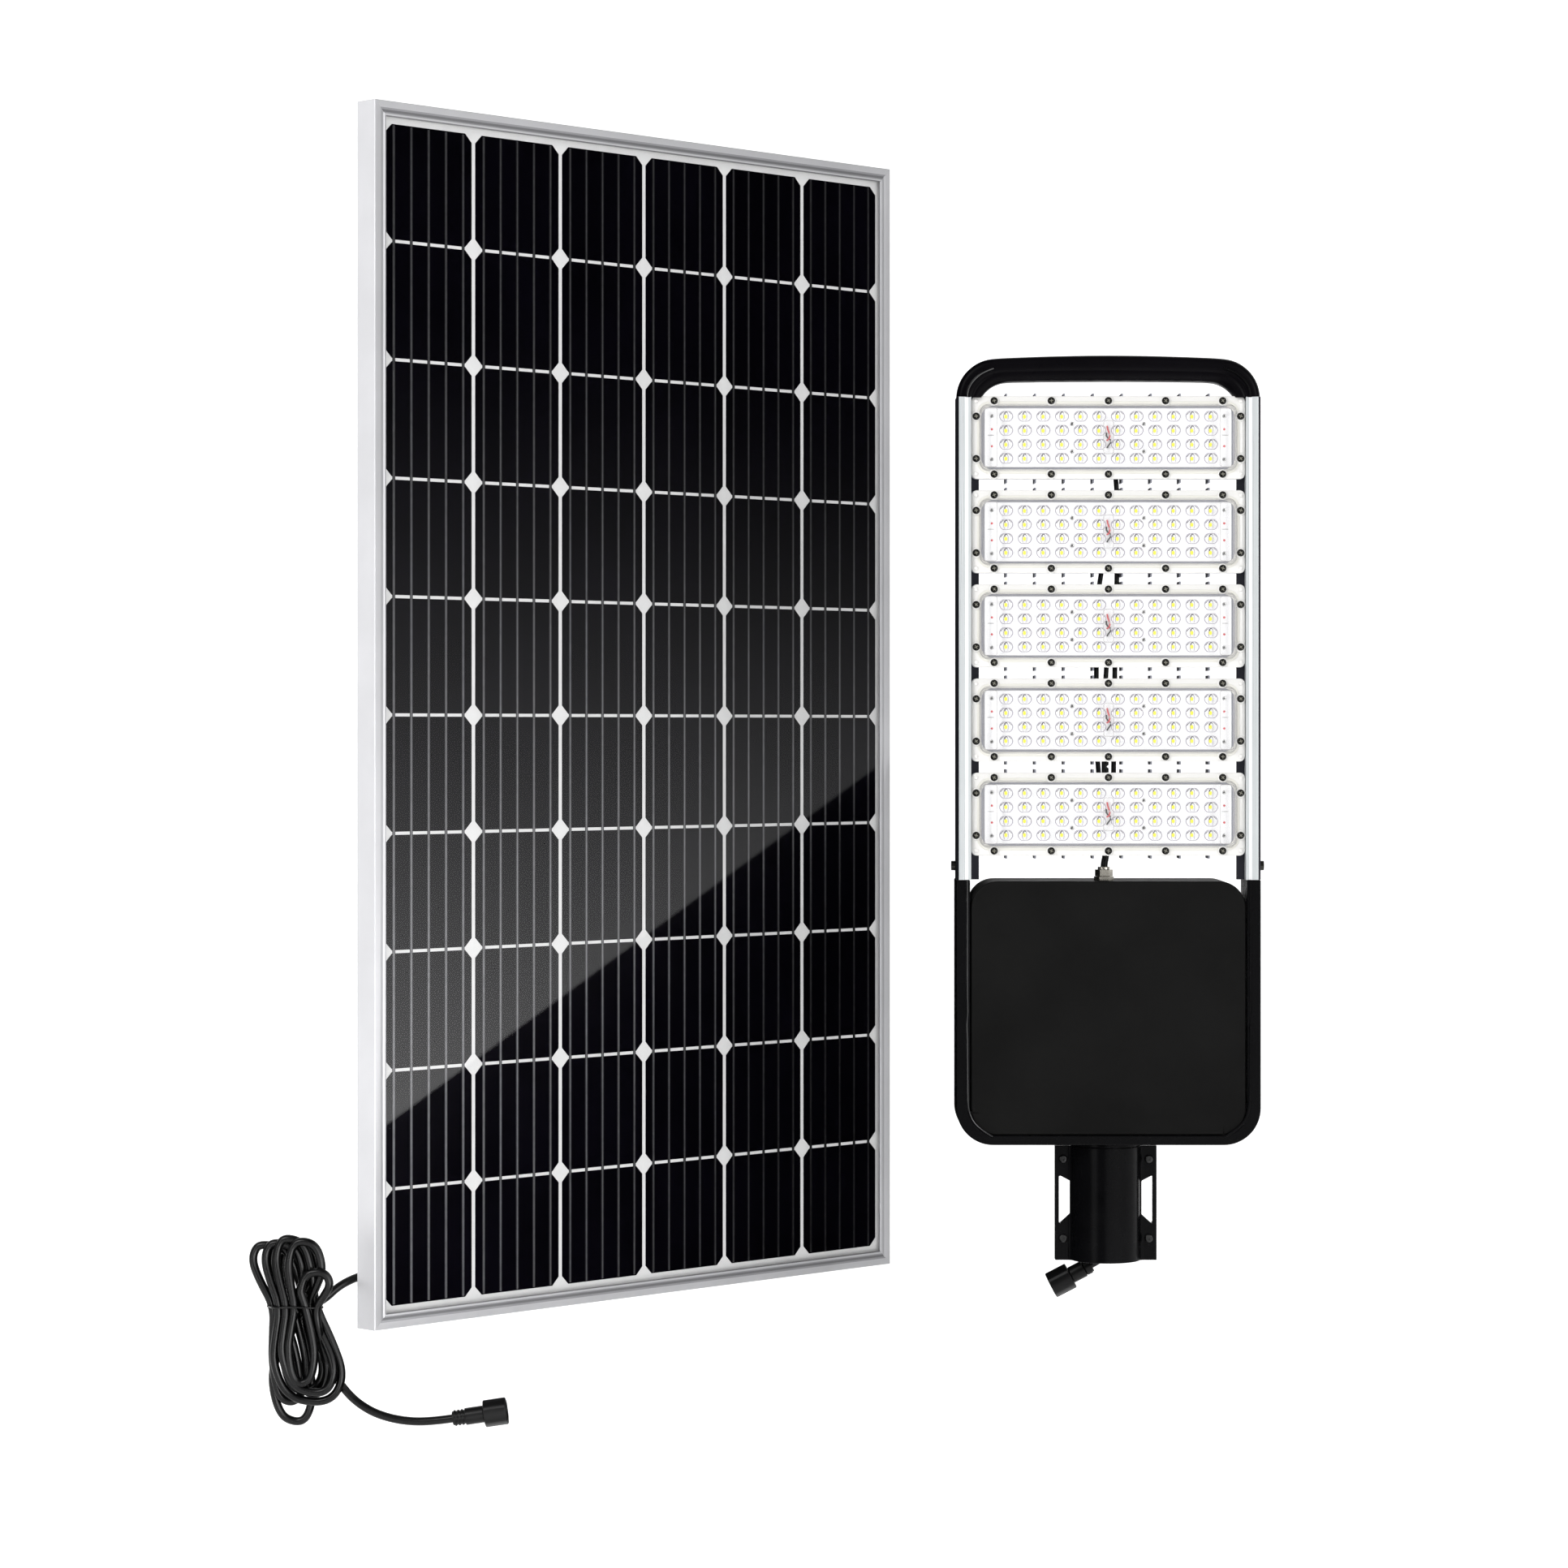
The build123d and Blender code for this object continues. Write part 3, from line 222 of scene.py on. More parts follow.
BLACK_NICKEL = turned_metal("black_nickel_screws", (0.045, 0.045, 0.042), 0.25)
# A light tone for the black screws' cross recesses: painted highlight on the recess walls.
SCREW_RECESS_PAINTED_HIGHLIGHT = moulded_light("screw_recess", (0.36, 0.35, 0.3), 0.3)
DARK_BUTTON = turned_metal("dark_button_heads", (0.055, 0.055, 0.055), 0.35)
NICKEL = turned_metal("nickel_gland", (0.55, 0.52, 0.46), 0.25)
COVER_EDGE = clear_sheet("cover_edge", 0.45, 1.45, (0.52, 0.51, 0.51), 0.12)
CREAM = moulded_light("seal", (0.72, 0.71, 0.67), 0.6)
DARK_RUBBER = textured_black("dark_rubber", (0.01, 0.01, 0.011), 0.6, 400.0, 0.00005, 0.15)
BOARD_WHITE = moulded_light("white_led_board", (0.86, 0.86, 0.87), 0.4)
GREEN_BOARD = moulded_light("circuit_board", (0.02, 0.18, 0.07), 0.35)
BLUE_WRAP = moulded_light("battery_wrap", (0.03, 0.1, 0.4), 0.25)
BRASS = turned_metal("terminals", (0.62, 0.52, 0.34), 0.3)

MATERIAL_NODES = [
    (ANODISED, "panel_frame_left panel_frame_right panel_frame_top panel_frame_bottom"),
    (GLASS, "panel_glass"), (BACKSHEET, "panel_backsheet panel_cells"),
    (CREAM, "panel_seal module_gaskets"), (ARCH_PLASTIC, "top_arch"),
    (BOX_PLASTIC, "junction_box_base junction_box_lid junction_box_gland pigtail_gland"),
    (BRASS, "junction_box_terminals"), (JACKET, "module_leads hank_tie"),
    (PLUG_PLASTIC, "panel_connector_body panel_connector_nut"),
    (PLUG_PLASTIC, "pigtail_connector_body pigtail_connector_nut"),
    (RAIL, "side_rail_left side_rail_right"),
    (FRAME_PAINT, "u_frame clamp_front_shell clamp_rear_shell"),
    (BOX_PAINT, "box_body box_rear_cover"), (DARK_RUBBER, "box_gasket"), (DARK_BUTTON, "clamp_bolts"),
    (STEEL, "box_screws clamp_nuts clamp_fixing_screws module_fixing_screws"),
    (BLACK_NICKEL, "side_bolts module_screws"), (NICKEL, "lead_gland_body lead_gland_nut"),
    (BLUE_WRAP, "battery_pack"), (GREEN_BOARD, "charge_controller"),
    (SINK, "panel_corner_keys"), (SINK, "heat_sink_%d"), (CLEAR, "lens_cover_%d"),
    (BOARD_WHITE, "led_board_%d"),
]
NODE_MATERIALS = {name.replace("%d", str(number)): material
                  for material, names in MATERIAL_NODES for name in names.split() for number in MODULES}


def dress_nodes():
    """Every CAD node gets the material of what it is made of."""
    for name, material in NODE_MATERIALS.items():
        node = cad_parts[name]
        for index in range(len(node.material_slots)):
            node.material_slots[index].material = material


# ------ mesh helpers
def piece(name, bm, materials, smooth=35.0, bevel=0.0):
    """A finished object from a bmesh, shaded smooth up to an angle, with its edges rounded."""
    mesh = bpy.data.meshes.new(name)
    bmesh.ops.recalc_face_normals(bm, faces=bm.faces)
    bm.to_mesh(mesh)
    bm.free()
    for material in materials:
        mesh.materials.append(material)
    mesh.shade_smooth()
    mesh.set_sharp_from_angle(angle=math.radians(smooth))
    made = bpy.data.objects.new(name, mesh)
    scene.collection.objects.link(made)
    if bevel:
        add_rounding(made, bevel)
    return made


def add_rounding(made, width):
    """Sharp edges rounded off, with the shading of the flats kept."""
    rounding = made.modifiers.new("rounding", "BEVEL")
    rounding.width = width
    rounding.segments = 2
    rounding.limit_method = "ANGLE"
    rounding.angle_limit = math.radians(30)
    rounding.harden_normals = True


def add_prism(bm, outline, low, high, axis="Y", material=0, matrix=None):
    """A prism of a closed outline, along Y or Z. Its numbers are the other two axes, in order."""
    def corner(point, height):
        a, b = point
        place = Vector((a, height, b)) if axis == "Y" else Vector((a, b, height))
        return matrix @ place if matrix else place

    first = [bm.verts.new(corner(p, low)) for p in outline]
    last = [bm.verts.new(corner(p, high)) for p in outline]
    faces = [bm.faces.new(first), bm.faces.new(list(reversed(last)))]
    count = len(outline)
    for index in range(count):
        after = (index + 1) % count
        faces.append(bm.faces.new((first[after], first[index], last[index], last[after])))
    for face in faces:
        face.material_index = material
    return faces


def add_box(bm, low, high, material=0, matrix=None):
    x0, y0, z0 = low
    x1, y1, z1 = high
    add_prism(bm, [(x0, z0), (x1, z0), (x1, z1), (x0, z1)], y0, y1, "Y", material, matrix)


def add_rings(bm, rings, closed=False, caps=True, material=0):
    """Skin of a row of rings of points, each with the same number of points."""
    rows = [[bm.verts.new(p) for p in ring] for ring in rings]
    count = len(rows[0])
    pairs = list(zip(rows, rows[1:]))
    if closed:
        pairs.append((rows[-1], rows[0]))
    faces = []
    for near, far in pairs:
        for index in range(count):
            after = (index + 1) % count
            faces.append(bm.faces.new((near[index], near[after], far[after], far[index])))
    if caps and not closed:
        faces.append(bm.faces.new(list(reversed(rows[0]))))
        faces.append(bm.faces.new(rows[-1]))
    for face in faces:
        face.material_index = material
    return faces


def rounded_rectangle(width, height, radius, steps=6, centre=(0.0, 0.0)):
    """Points of a rounded rectangle, counter-clockwise."""
    points = []
    for quarter in range(4):
        cx = centre[0] + (width / 2 - radius) * (1 if quarter in (0, 3) else -1)
        cy = centre[1] + (height / 2 - radius) * (1 if quarter in (0, 1) else -1)
        for step in range(steps + 1):
            angle = math.pi / 2 * (quarter + step / steps)
            points.append((cx + radius * math.cos(angle), cy + radius * math.sin(angle)))
    return points


def along(start, direction):
    """A matrix whose Z runs along a direction from a point."""
    turn = Vector(direction).normalized().to_track_quat("Z", "Y").to_matrix().to_4x4()
    return Matrix.Translation(Vector(start)) @ turn


def circle(place, radius, distance, sides):
    """Points of a circle round a place's Z axis."""
    angles = [2 * math.pi * index / sides for index in range(sides)]
    return [place @ Vector((radius * math.cos(a), radius * math.sin(a), distance)) for a in angles]


def add_turned(bm, profile, place, sides, material=0):
    """A turned shape: pairs of distance along the axis and radius."""
    rings = [circle(place, radius, distance, sides) for distance, radius in profile]
    add_rings(bm, rings, material=material)


def add_tube(bm, points, radius, material, sides=10):
    """A round wire or moulding through a few points."""
    places = [Vector(p) for p in points]
    rings = []
    for index, place in enumerate(places):
        ahead = places[min(index + 1, len(places) - 1)] - places[max(index - 1, 0)]
        rings.append(circle(along(place, ahead), radius, 0.0, sides))
    add_rings(bm, rings, material=material)


def add_curve_tube(bm, points, diameter):
    """A tube along a NURBS route, from the points that Blender gives for the route."""
    route = cord_curve("route", points, 0.0, JACKET)
    line = bpy.data.meshes.new_from_object(route)
    places = [vertex.co.copy() for vertex in line.vertices]
    bpy.data.objects.remove(route)
    bpy.data.meshes.remove(line)
    add_tube(bm, places, diameter / 2, 0, 16)


def between(a, b, share):
    return a + (b - a) * share


# ------ cords
def cord_curve(name, points, diameter, material):
    """A smooth cord with the points of its route as control points."""
    curve = bpy.data.curves.new(name, "CURVE")
    curve.dimensions = "3D"
    curve.resolution_u = 8
    curve.bevel_depth = diameter / 2
    curve.bevel_resolution = 5
    curve.use_fill_caps = True
    spline = curve.splines.new("NURBS")
    spline.points.add(len(points) - 1)
    for place, point in zip(spline.points, points):
        place.co = (*point, 1.0)
    spline.use_endpoint_u = True
    spline.order_u = 3
    curve.materials.append(material)
    made = bpy.data.objects.new(name, curve)
    scene.collection.objects.link(made)
    return made


CABLE_DIAMETER = 0.009
PIGTAIL_DIAMETER = 0.008
# The panel cable's lead: out of the junction box, along the panel's back and round its left edge.
LEAD_POINTS = [
    (-0.571, 0.2025, -0.012),
    (-0.602, 0.1705, -0.013),
    (-0.64, 0.138, -0.017),
    (-0.687, 0.104, -0.02),
    (-0.736, 0.0685, -0.017),
    (-0.781, 0.03, -0.0145),
    (-0.813, -0.001, -0.0165),
    (-0.836, -0.022, -0.025),
    (-0.853, -0.031, -0.041),
]
# The tail: out of the hank's right side and along to the connector.
TAIL_POINTS = [
    (-0.846, -0.038, -0.112),
    (-0.831, -0.04, -0.134),
    (-0.815, -0.043, -0.15),
    (-0.793, -0.045, -0.1625),
    (-0.764, -0.046, -0.1695),
    (-0.735, -0.046, -0.17),
    (-0.711, -0.046, -0.1665),
]
WAIST_Z = -0.046
# The hank's loops in the order that the cable takes them. Each is: the side reached first and the
# side reached last (x and z where the loop is widest), the apex (x, z), the depth where it turns,
# and then where the cable comes back through the tied waist (x, y).
HANK_LOOPS = [
    ((-0.911, -0.118), (-0.864, -0.14), (-0.88, -0.1745), -0.03, (-0.88, -0.0305)),
    ((-0.859, -0.002), (-0.8975, 0.002), (-0.88, 0.02), -0.031, (-0.892, -0.032)),
    ((-0.897, -0.1), (-0.852, -0.115), (-0.873, -0.14), -0.033, (-0.87, -0.033)),
    ((-0.884, -0.002), (-0.93, 0.002), (-0.918, 0.021), -0.034, (-0.9055, -0.04)),
    ((-0.908, -0.106), (-0.87, -0.112), (-0.888, -0.152), -0.035, (-0.885, -0.04)),
    ((-0.869, -0.002), (-0.908, 0.005), (-0.893, 0.025), -0.037, (-0.899, -0.0395)),
    ((-0.881, -0.1), (-0.846, -0.112), (-0.862, -0.143), -0.039, (-0.876, -0.04)),
    ((-0.874, -0.003), (-0.9155, 0.004), (-0.9035, 0.024), -0.041, (-0.898, -0.048)),
    ((-0.906, -0.106), (-0.829, -0.118), (-0.858, -0.15), -0.047, (-0.86, -0.041)),
    ((-0.864, -0.005), (-0.903, 0.004), (-0.891, 0.0295), -0.045, (-0.89, -0.051)),
    ((-0.8965, -0.096), (-0.8375, -0.111), (-0.856, -0.139), -0.053, (-0.87, -0.041)),
    ((-0.851, -0.004), (-0.889, 0.0), (-0.874, 0.027), -0.05, (-0.881, -0.053)),
    ((-0.8885, -0.09), (-0.859, -0.096), (-0.8737, -0.129), -0.0545, (-0.869, -0.054)),
    ((-0.875, -0.026), (-0.8425, -0.02), (-0.856, -0.006), -0.056, (-0.859, -0.052)),
]
# How far a loop's shoulders lie from its widest point towards its apex, across and along.
HANK_SHOULDER = (0.3, 0.8)
# How far the cable has spread between the waist and a loop's widest point: across, along and in depth.
HANK_SPREAD = (0.62, 0.55, 0.5)
HANK_START = (-0.868, -0.031)
# From the last loop under the tie to the tail.
HANK_END = [(-0.856, -0.05, -0.07), (-0.852, -0.042, -0.092)]
# The pigtail: down from its gland behind the clamp, then out to the left.
PIGTAIL_POINTS = [
    (0.01, 0.048, 0.113),
    (0.01, 0.0485, 0.093),
    (0.0115, 0.049, 0.066),
    (0.0125, 0.05, 0.039),
    (0.0115, 0.051, 0.0145),
    (0.004, 0.052, -0.0042),
    (-0.0118, 0.0525, -0.0125),
]


def hank_side(waist, wide, depth):
    """The point between the waist (x, y) and a loop's widest point (x, z)."""
    across, along_z, in_depth = HANK_SPREAD
    return (between(waist[0], wide[0], across), between(waist[1], depth, in_depth),
            between(WAIST_Z, wide[1], along_z))


def hank_points():
    """Control points of the cable's turns, loop by loop, from the lead to the tail."""
    points = []
    start = HANK_START
    for first, last, apex, depth, leave in HANK_LOOPS:
        shoulder_z = between((first[1] + last[1]) / 2, apex[1], HANK_SHOULDER[1])
        points += [
            (start[0], start[1], WAIST_Z),
            hank_side(start, first, depth),
            (first[0], depth, first[1]),
            (between(first[0], apex[0], HANK_SHOULDER[0]), depth, shoulder_z),
            (apex[0], depth, apex[1]),
            (between(last[0], apex[0], HANK_SHOULDER[0]), depth, shoulder_z),
            (last[0], depth, last[1]),
            hank_side(leave, last, depth),
        ]
        start = leave
    return points + [(start[0], start[1], WAIST_Z), *HANK_END]


def build_panel_cable(tie, connector, nut):
    route = LEAD_POINTS + hank_points() + TAIL_POINTS
    cable = cord_curve("panel_cable", route, CABLE_DIAMETER, JACKET)
    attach(cable, "root")
    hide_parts("panel_cable_lead", "panel_cable_hank", "panel_cable_tail")


def build_pigtail(connector, nut):
    cable = cord_curve("pigtail", PIGTAIL_POINTS, PIGTAIL_DIAMETER, JACKET)
    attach(cable, "root")
    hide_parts("pigtail_cable")


# ------ solar cells
CELL_COLUMNS = 6
CELL_ROWS = 10
CELL_PITCH_X = 0.129
CELL_PITCH_Z = 0.1292
CELL_WIDTH = 0.1238
CELL_HEIGHT = 0.1257
CELL_CORNER = 0.0095
GRID_X = 0.017
GRID_Z = 0.022
BUSBARS = 5
BAR_INSET = 0.003
# Each busbar has a bright core of painted highlight on a darker edge: half width, depth and material.
BAR_LAYERS = ((0.002, 0.0065, 3), (0.0008, 0.00645, 2))
SHEET_EDGE = 0.004
SHEET_BACK, SHEET_FRONT, CELL_FRONT = 0.0074, 0.0068, 0.0066


def build_cells():
    """Pseudo-square cells with their busbars on a white sheet."""
    bm = bmesh.new()
    add_box(bm, (SHEET_EDGE, SHEET_FRONT, SHEET_EDGE),
            (PANEL_WIDTH - SHEET_EDGE, SHEET_BACK, PANEL_HEIGHT - SHEET_EDGE), 0, PANEL_FRAME)
    a, b = CELL_WIDTH / 2, CELL_HEIGHT / 2
    c, d = a - CELL_CORNER, b - CELL_CORNER
    shape = [(a, -d), (a, d), (c, b), (-c, b), (-a, d), (-a, -d), (-c, -b), (c, -b)]
    for column in range(CELL_COLUMNS):
        x = GRID_X + CELL_PITCH_X * (column + 0.5)
        for row in range(CELL_ROWS):
            z = GRID_Z + CELL_PITCH_Z * (row + 0.5)
            outline = [(x + across, z + up) for across, up in shape]
            add_prism(bm, outline, CELL_FRONT, SHEET_FRONT, "Y", 1, PANEL_FRAME)
        for bar in range(BUSBARS):
            middle = x + (bar - (BUSBARS - 1) / 2) * CELL_WIDTH / BUSBARS
            low, high = GRID_Z + BAR_INSET, PANEL_HEIGHT - GRID_Z - BAR_INSET
            for half_bar, front, material in BAR_LAYERS:
                add_box(bm, (middle - half_bar, front, low), (middle + half_bar, CELL_FRONT, high),
                        material, PANEL_FRAME)
    cells = piece("solar_cell_layer", bm, [BACKSHEET, SILICON, BAR_CORE_PAINTED_HIGHLIGHT, BUSBAR_EDGE])
    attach(cells, "root")
    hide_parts("panel_cells")


# ------ panel frame
# The member's section, from its outer back edge over the front lip to its inner edge: distance in
# from the outer face, depth, and the material of the face that follows.
# Materials 1 to 3 are the lip's bands, groove and inner edge; where they are darker copies of the
# aluminium, that is painted shade.
MEMBER_SECTION = [
    (0.0, 0.03, 0), (0.0, 0.0007, 0), (0.0007, 0.0, 0), (0.0078, 0.0, 1),
    (0.0098, 0.0009, 2), (0.0125, 0.0009, 1), (0.014, 0.0002, 0), (0.016, 0.0005, 2),
    (0.017, 0.0014, 3), (0.017, 0.0032, 0), (0.0015, 0.0032, 0), (0.0015, 0.0285, 0),
    (0.028, 0.0285, 0), (0.028, 0.03, 0),
]
SLOT_WIDTH, SLOT_LENGTH = 0.007, 0.014
SLOT_INSET = 0.0205
SLOT_HEIGHTS = (0.22, 0.78)            # shares of the panel's height
SLOT_DEPTHS = (0.026, 0.032)           # the cutter reaches past both faces of the flange


def cut_slots(member, side_x):
    """The two mounting slots through an upright member's back flange."""
    bm = bmesh.new()
    for share in SLOT_HEIGHTS:
        outline = rounded_rectangle(SLOT_WIDTH, SLOT_LENGTH, SLOT_WIDTH / 2 - 0.00001, 8,
                                    (side_x, share * PANEL_HEIGHT))
        add_prism(bm, outline, *SLOT_DEPTHS, "Y", 0, PANEL_FRAME)
    cutter = piece("slot_cutter", bm, [ANODISED])
    cut = member.modifiers.new("slots", "BOOLEAN")
    cut.operation, cut.solver, cut.object = "DIFFERENCE", "EXACT", cutter
    depsgraph = bpy.context.evaluated_depsgraph_get()
    mesh = bpy.data.meshes.new_from_object(member.evaluated_get(depsgraph))
    member.modifiers.clear()
    member.data = mesh
    bpy.data.objects.remove(cutter)


def build_panel_frame():
    """Four mitred members, each with its grooved lip and its back flange."""
    w, h = PANEL_WIDTH, PANEL_HEIGHT
    corners = {"left": ((0, 0), (0, h), (1, 0)), "right": ((w, h), (w, 0), (-1, 0)),
               "top": ((0, h), (w, h), (0, -1)), "bottom": ((w, 0), (0, 0), (0, 1))}
    for name, (start, end, inward) in corners.items():
        run = (Vector(end) - Vector(start)).normalized()
        # The top and bottom members get darker lip tones than the uprights: painted shade for how the
        # light falls on them.
        shades = [LIP_PAINTED_SHADE_MID, LIP_PAINTED_SHADE_DEEP] if name in ("top", "bottom") else [ANODISED, LIP_PAINTED_SHADE_LIGHT]
        bm = bmesh.new()
        rows = []
        for corner, sign in ((start, 1), (end, -1)):
            slant = Vector(inward) + sign * run
            rows.append([bm.verts.new(PANEL_FRAME @ Vector((
                corner[0] + slant.x * inset, depth, corner[1] + slant.y * inset)))
                for inset, depth, _ in MEMBER_SECTION])
        for index, (_, _, material) in enumerate(MEMBER_SECTION):
            after = (index + 1) % len(MEMBER_SECTION)
            face = bm.faces.new((rows[0][index], rows[0][after], rows[1][after], rows[1][index]))
            face.material_index = material
        bm.faces.new(list(reversed(rows[0])))
        bm.faces.new(rows[1])
        member = piece("frame_%s_profile" % name, bm, [ANODISED, *shades, LIP_PAINTED_SHADE_INNER], 30.0)
        if name in ("left", "right"):
            cut_slots(member, SLOT_INSET if name == "left" else w - SLOT_INSET)
        add_rounding(member, 0.0002)
        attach(member, "root")
        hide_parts("panel_frame_" + name)


# ------ LED modules
MODULE_Z = [0.897, 0.7948, 0.6926, 0.5904, 0.4882]
MODULE_WIDTH = 0.297
MODULE_HEIGHT = 0.09
PLATEAU = (0.276, 0.066)
LENS_X = [0.0202 * (index - 5.5) for index in range(12)]
LENS_Z = [0.0152 * (index - 1.5) for index in range(4)]
LENS_HALF = (0.0074, 0.0056)
COVER_SCREWS = ([(0.062 * (index - 2), side * 0.0398) for index in range(5) for side in (-1, 1)]
                + [(side * 0.1435, end * 0.023) for side in (-1, 1) for end in (-1, 1)])
FLANGE_BACK = -0.036
FLANGE_FRONT = -0.039
PLATEAU_FRONT = -0.043
BOARD_BACK, BOARD_FRONT = -0.034, -0.0356


def face_ring(outline, depth):
    return [Vector((x, depth, z)) for x, z in outline]


def add_ridge(bm, width, height, radius, section, material=0, steps=8, centre=(0.0, 0.0)):
    """A ridge that runs round a rounded rectangle. Its section is pairs of offset and depth."""
    rings = []
    for offset, depth in section:
        size = (width + 2 * offset, height + 2 * offset, radius + offset)
        rings.append(face_ring(rounded_rectangle(*size, steps, centre), depth))
    add_rings(bm, rings, closed=True, caps=False, material=material)


def add_raised(bm, levels, centre=(0.0, 0.0), steps=6, material=0, back=True):
    """A raised shape of rounded rectangles: width, height, radius and depth from back to front."""
    rings = [face_ring(rounded_rectangle(w, h, r, steps, centre), depth) for w, h, r, depth in levels]
    faces = add_rings(bm, rings, material=material)
    if not back:
        bm.faces.remove(faces[-2])


def add_loop(bm, levels, material=0, steps=6):
    """A flat ring of rounded rectangles, taken round its section."""
    rings = [face_ring(rounded_rectangle(w, h, r, steps), depth) for w, h, r, depth in levels]
    add_rings(bm, rings, closed=True, caps=False, material=material)


LENS_STEPS = 36
# A lens's dome and its rim: scale of the outline and depth.
LENS_DOME = ((1.0, -0.043), (0.93, -0.0441), (0.78, -0.045), (0.5, -0.0457), (0.2, -0.046))
LENS_RIM = ((1.0, -0.043), (1.0, -0.0433), (0.92, -0.0433), (0.92, -0.043))
LENS_MARK_FRONT = -0.0432
# The dark streaks of painted reflection and the fine lines inside a lens, in millimetres from its
# middle.
LENS_STREAKS = [
    [(-6.6, 1.2), (-5.3, 3.1), (-3.5, 4.6), (-2.5, 5.0), (-3.0, 4.2), (-4.4, 3.1), (-5.4, 1.7)],
    [(2.6, 5.0), (3.6, 4.6), (5.4, 3.0), (6.3, 1.6), (5.2, 2.4), (4.2, 3.6), (3.2, 4.1)],
    [(-2.0, 1.6), (-1.7, 3.6), (-1.0, 5.0), (0.9, 5.0), (1.8, 3.2),
     (1.0, 3.7), (0.2, 4.2), (-0.5, 4.0), (-0.8, 3.0), (-1.2, 1.6)],
]
LENS_LINES = [
    [(-2.2, 4.4), (-2.9, 1.0), (-2.9, -1.6), (-2.1, -4.6),
     (-1.7, -4.6), (-2.4, -1.6), (-2.4, 1.0), (-1.7, 4.4)],
    [(1.9, 4.0), (2.5, 1.0), (2.5, -1.4), (1.9, -4.4),
     (1.6, -4.4), (2.1, -1.4), (2.1, 1.0), (1.5, 4.0)],
]


def lens_ring(x, z, scale, depth):
    """The eye-shaped outline of a lens at a scale and a depth."""
    half_x, half_z = LENS_HALF
    ring = []
    for step in range(LENS_STEPS):
        angle = 2 * math.pi * step / LENS_STEPS
        c, s = math.cos(angle), math.sin(angle)
        across = half_x * math.copysign(abs(c) ** 1.12, c)
        up = max(-half_z, min(half_z, 1.2 * half_z * s))
        ring.append(Vector((x + across * scale, depth, z + up * scale)))
    return ring


def add_lens(bm, x, z):
    """One lens: a clear dome in a fine rim, with dark streaks that paint the reflections of its moulded
    inside, and fine lines.
    """
    dome = add_rings(bm, [lens_ring(x, z, *level) for level in LENS_DOME])
    bm.faces.remove(dome[-2])
    add_rings(bm, [lens_ring(x, z, *level) for level in LENS_RIM], closed=True, caps=False, material=1)
    for material, shapes in ((2, LENS_STREAKS), (1, LENS_LINES)):
        for shape in shapes:
            outline = [(x + a * MM, z + b * MM) for a, b in shape]
            add_prism(bm, outline, LENS_MARK_FRONT, PLATEAU_FRONT, "Y", material)


def lens_cover_mesh():
    """A cover: flange and raised plateau, their edges, screw collars, pockets and lenses."""
    bm = bmesh.new()
    w, h = MODULE_WIDTH, MODULE_HEIGHT
    foot = (PLATEAU[0] + 0.006, PLATEAU[1] + 0.006, 0.007)
    add_loop(bm, [(*foot, FLANGE_BACK), (w, h, 0.006, FLANGE_BACK),
                  (w, h, 0.006, FLANGE_FRONT + 0.0006),
                  (w - 0.0012, h - 0.0012, 0.0055, FLANGE_FRONT), (*foot, FLANGE_FRONT)], 3)
    add_raised(bm, [(*foot, FLANGE_FRONT),
                    (PLATEAU[0] + 0.003, PLATEAU[1] + 0.003, 0.006, FLANGE_FRONT - 0.0006),
                    (PLATEAU[0] + 0.0008, PLATEAU[1] + 0.0008, 0.005, PLATEAU_FRONT + 0.0008),
                    (PLATEAU[0] - 0.0012, PLATEAU[1] - 0.0012, 0.0045, PLATEAU_FRONT)], back=False)
    for width, height, radius, half, top, base, rise, material in (
            (0.2822, 0.0758, 0.012, 0.0014, 0.0011, FLANGE_FRONT, 0.0005, 5),
            (0.278, 0.069, 0.0075, 0.0003, 0.0002, FLANGE_FRONT, 0.0012, 4),
            (PLATEAU[0] - 0.001, PLATEAU[1] - 0.001, 0.0048, 0.0002, 0.0001, PLATEAU_FRONT, 0.0003, 4)):
        section = [(-half, base), (-top, base - rise), (top, base - rise), (half, base)]
        add_ridge(bm, width, height, radius, section, material)
    for x, z in COVER_SCREWS:
        place = along((x, FLANGE_FRONT, z), (0, -1, 0))
        collar = [(-0.0005, 0.0056), (0.001, 0.0054), (0.0016, 0.0049), (0.0017, 0.0042)]
        add_turned(bm, collar, place, 28, 3)
    for sx in (-1, 1):
        for sz in (-1, 1):
            place = along((sx * 0.1436, FLANGE_FRONT, sz * 0.0395), (0, -1, 0))
            add_turned(bm, [(-0.0005, 0.0022), (0.0009, 0.0021), (0.0013, 0.0016)], place, 20, 3)
        centre = (sx * 0.1284, 0.0)
        add_raised(bm, [(0.015, 0.064, 0.0022, PLATEAU_FRONT), (0.0148, 0.0638, 0.0022, -0.0454),
                        (0.0138, 0.0628, 0.0018, -0.046)], centre, back=False)
        rim = ((-0.0004, -0.0431), (-0.0003, -0.0462), (0.0001, -0.0462), (0.0001, -0.0431))
        add_ridge(bm, 0.015, 0.064, 0.0022, rim, 4, 6, centre)
    add_raised(bm, [(0.011, 0.036, 0.0022, PLATEAU_FRONT), (0.0106, 0.0356, 0.0022, -0.0462),
                    (0.009, 0.034, 0.0018, -0.047)], back=False)
    rim = ((-0.0006, -0.0431), (-0.0006, -0.0436), (0.0002, -0.0436), (0.0002, -0.0431))
    add_ridge(bm, 0.011, 0.036, 0.0022, rim, 4, 6)
    for x in LENS_X:
        for z in LENS_Z:
            add_lens(bm, x, z)
    return bm


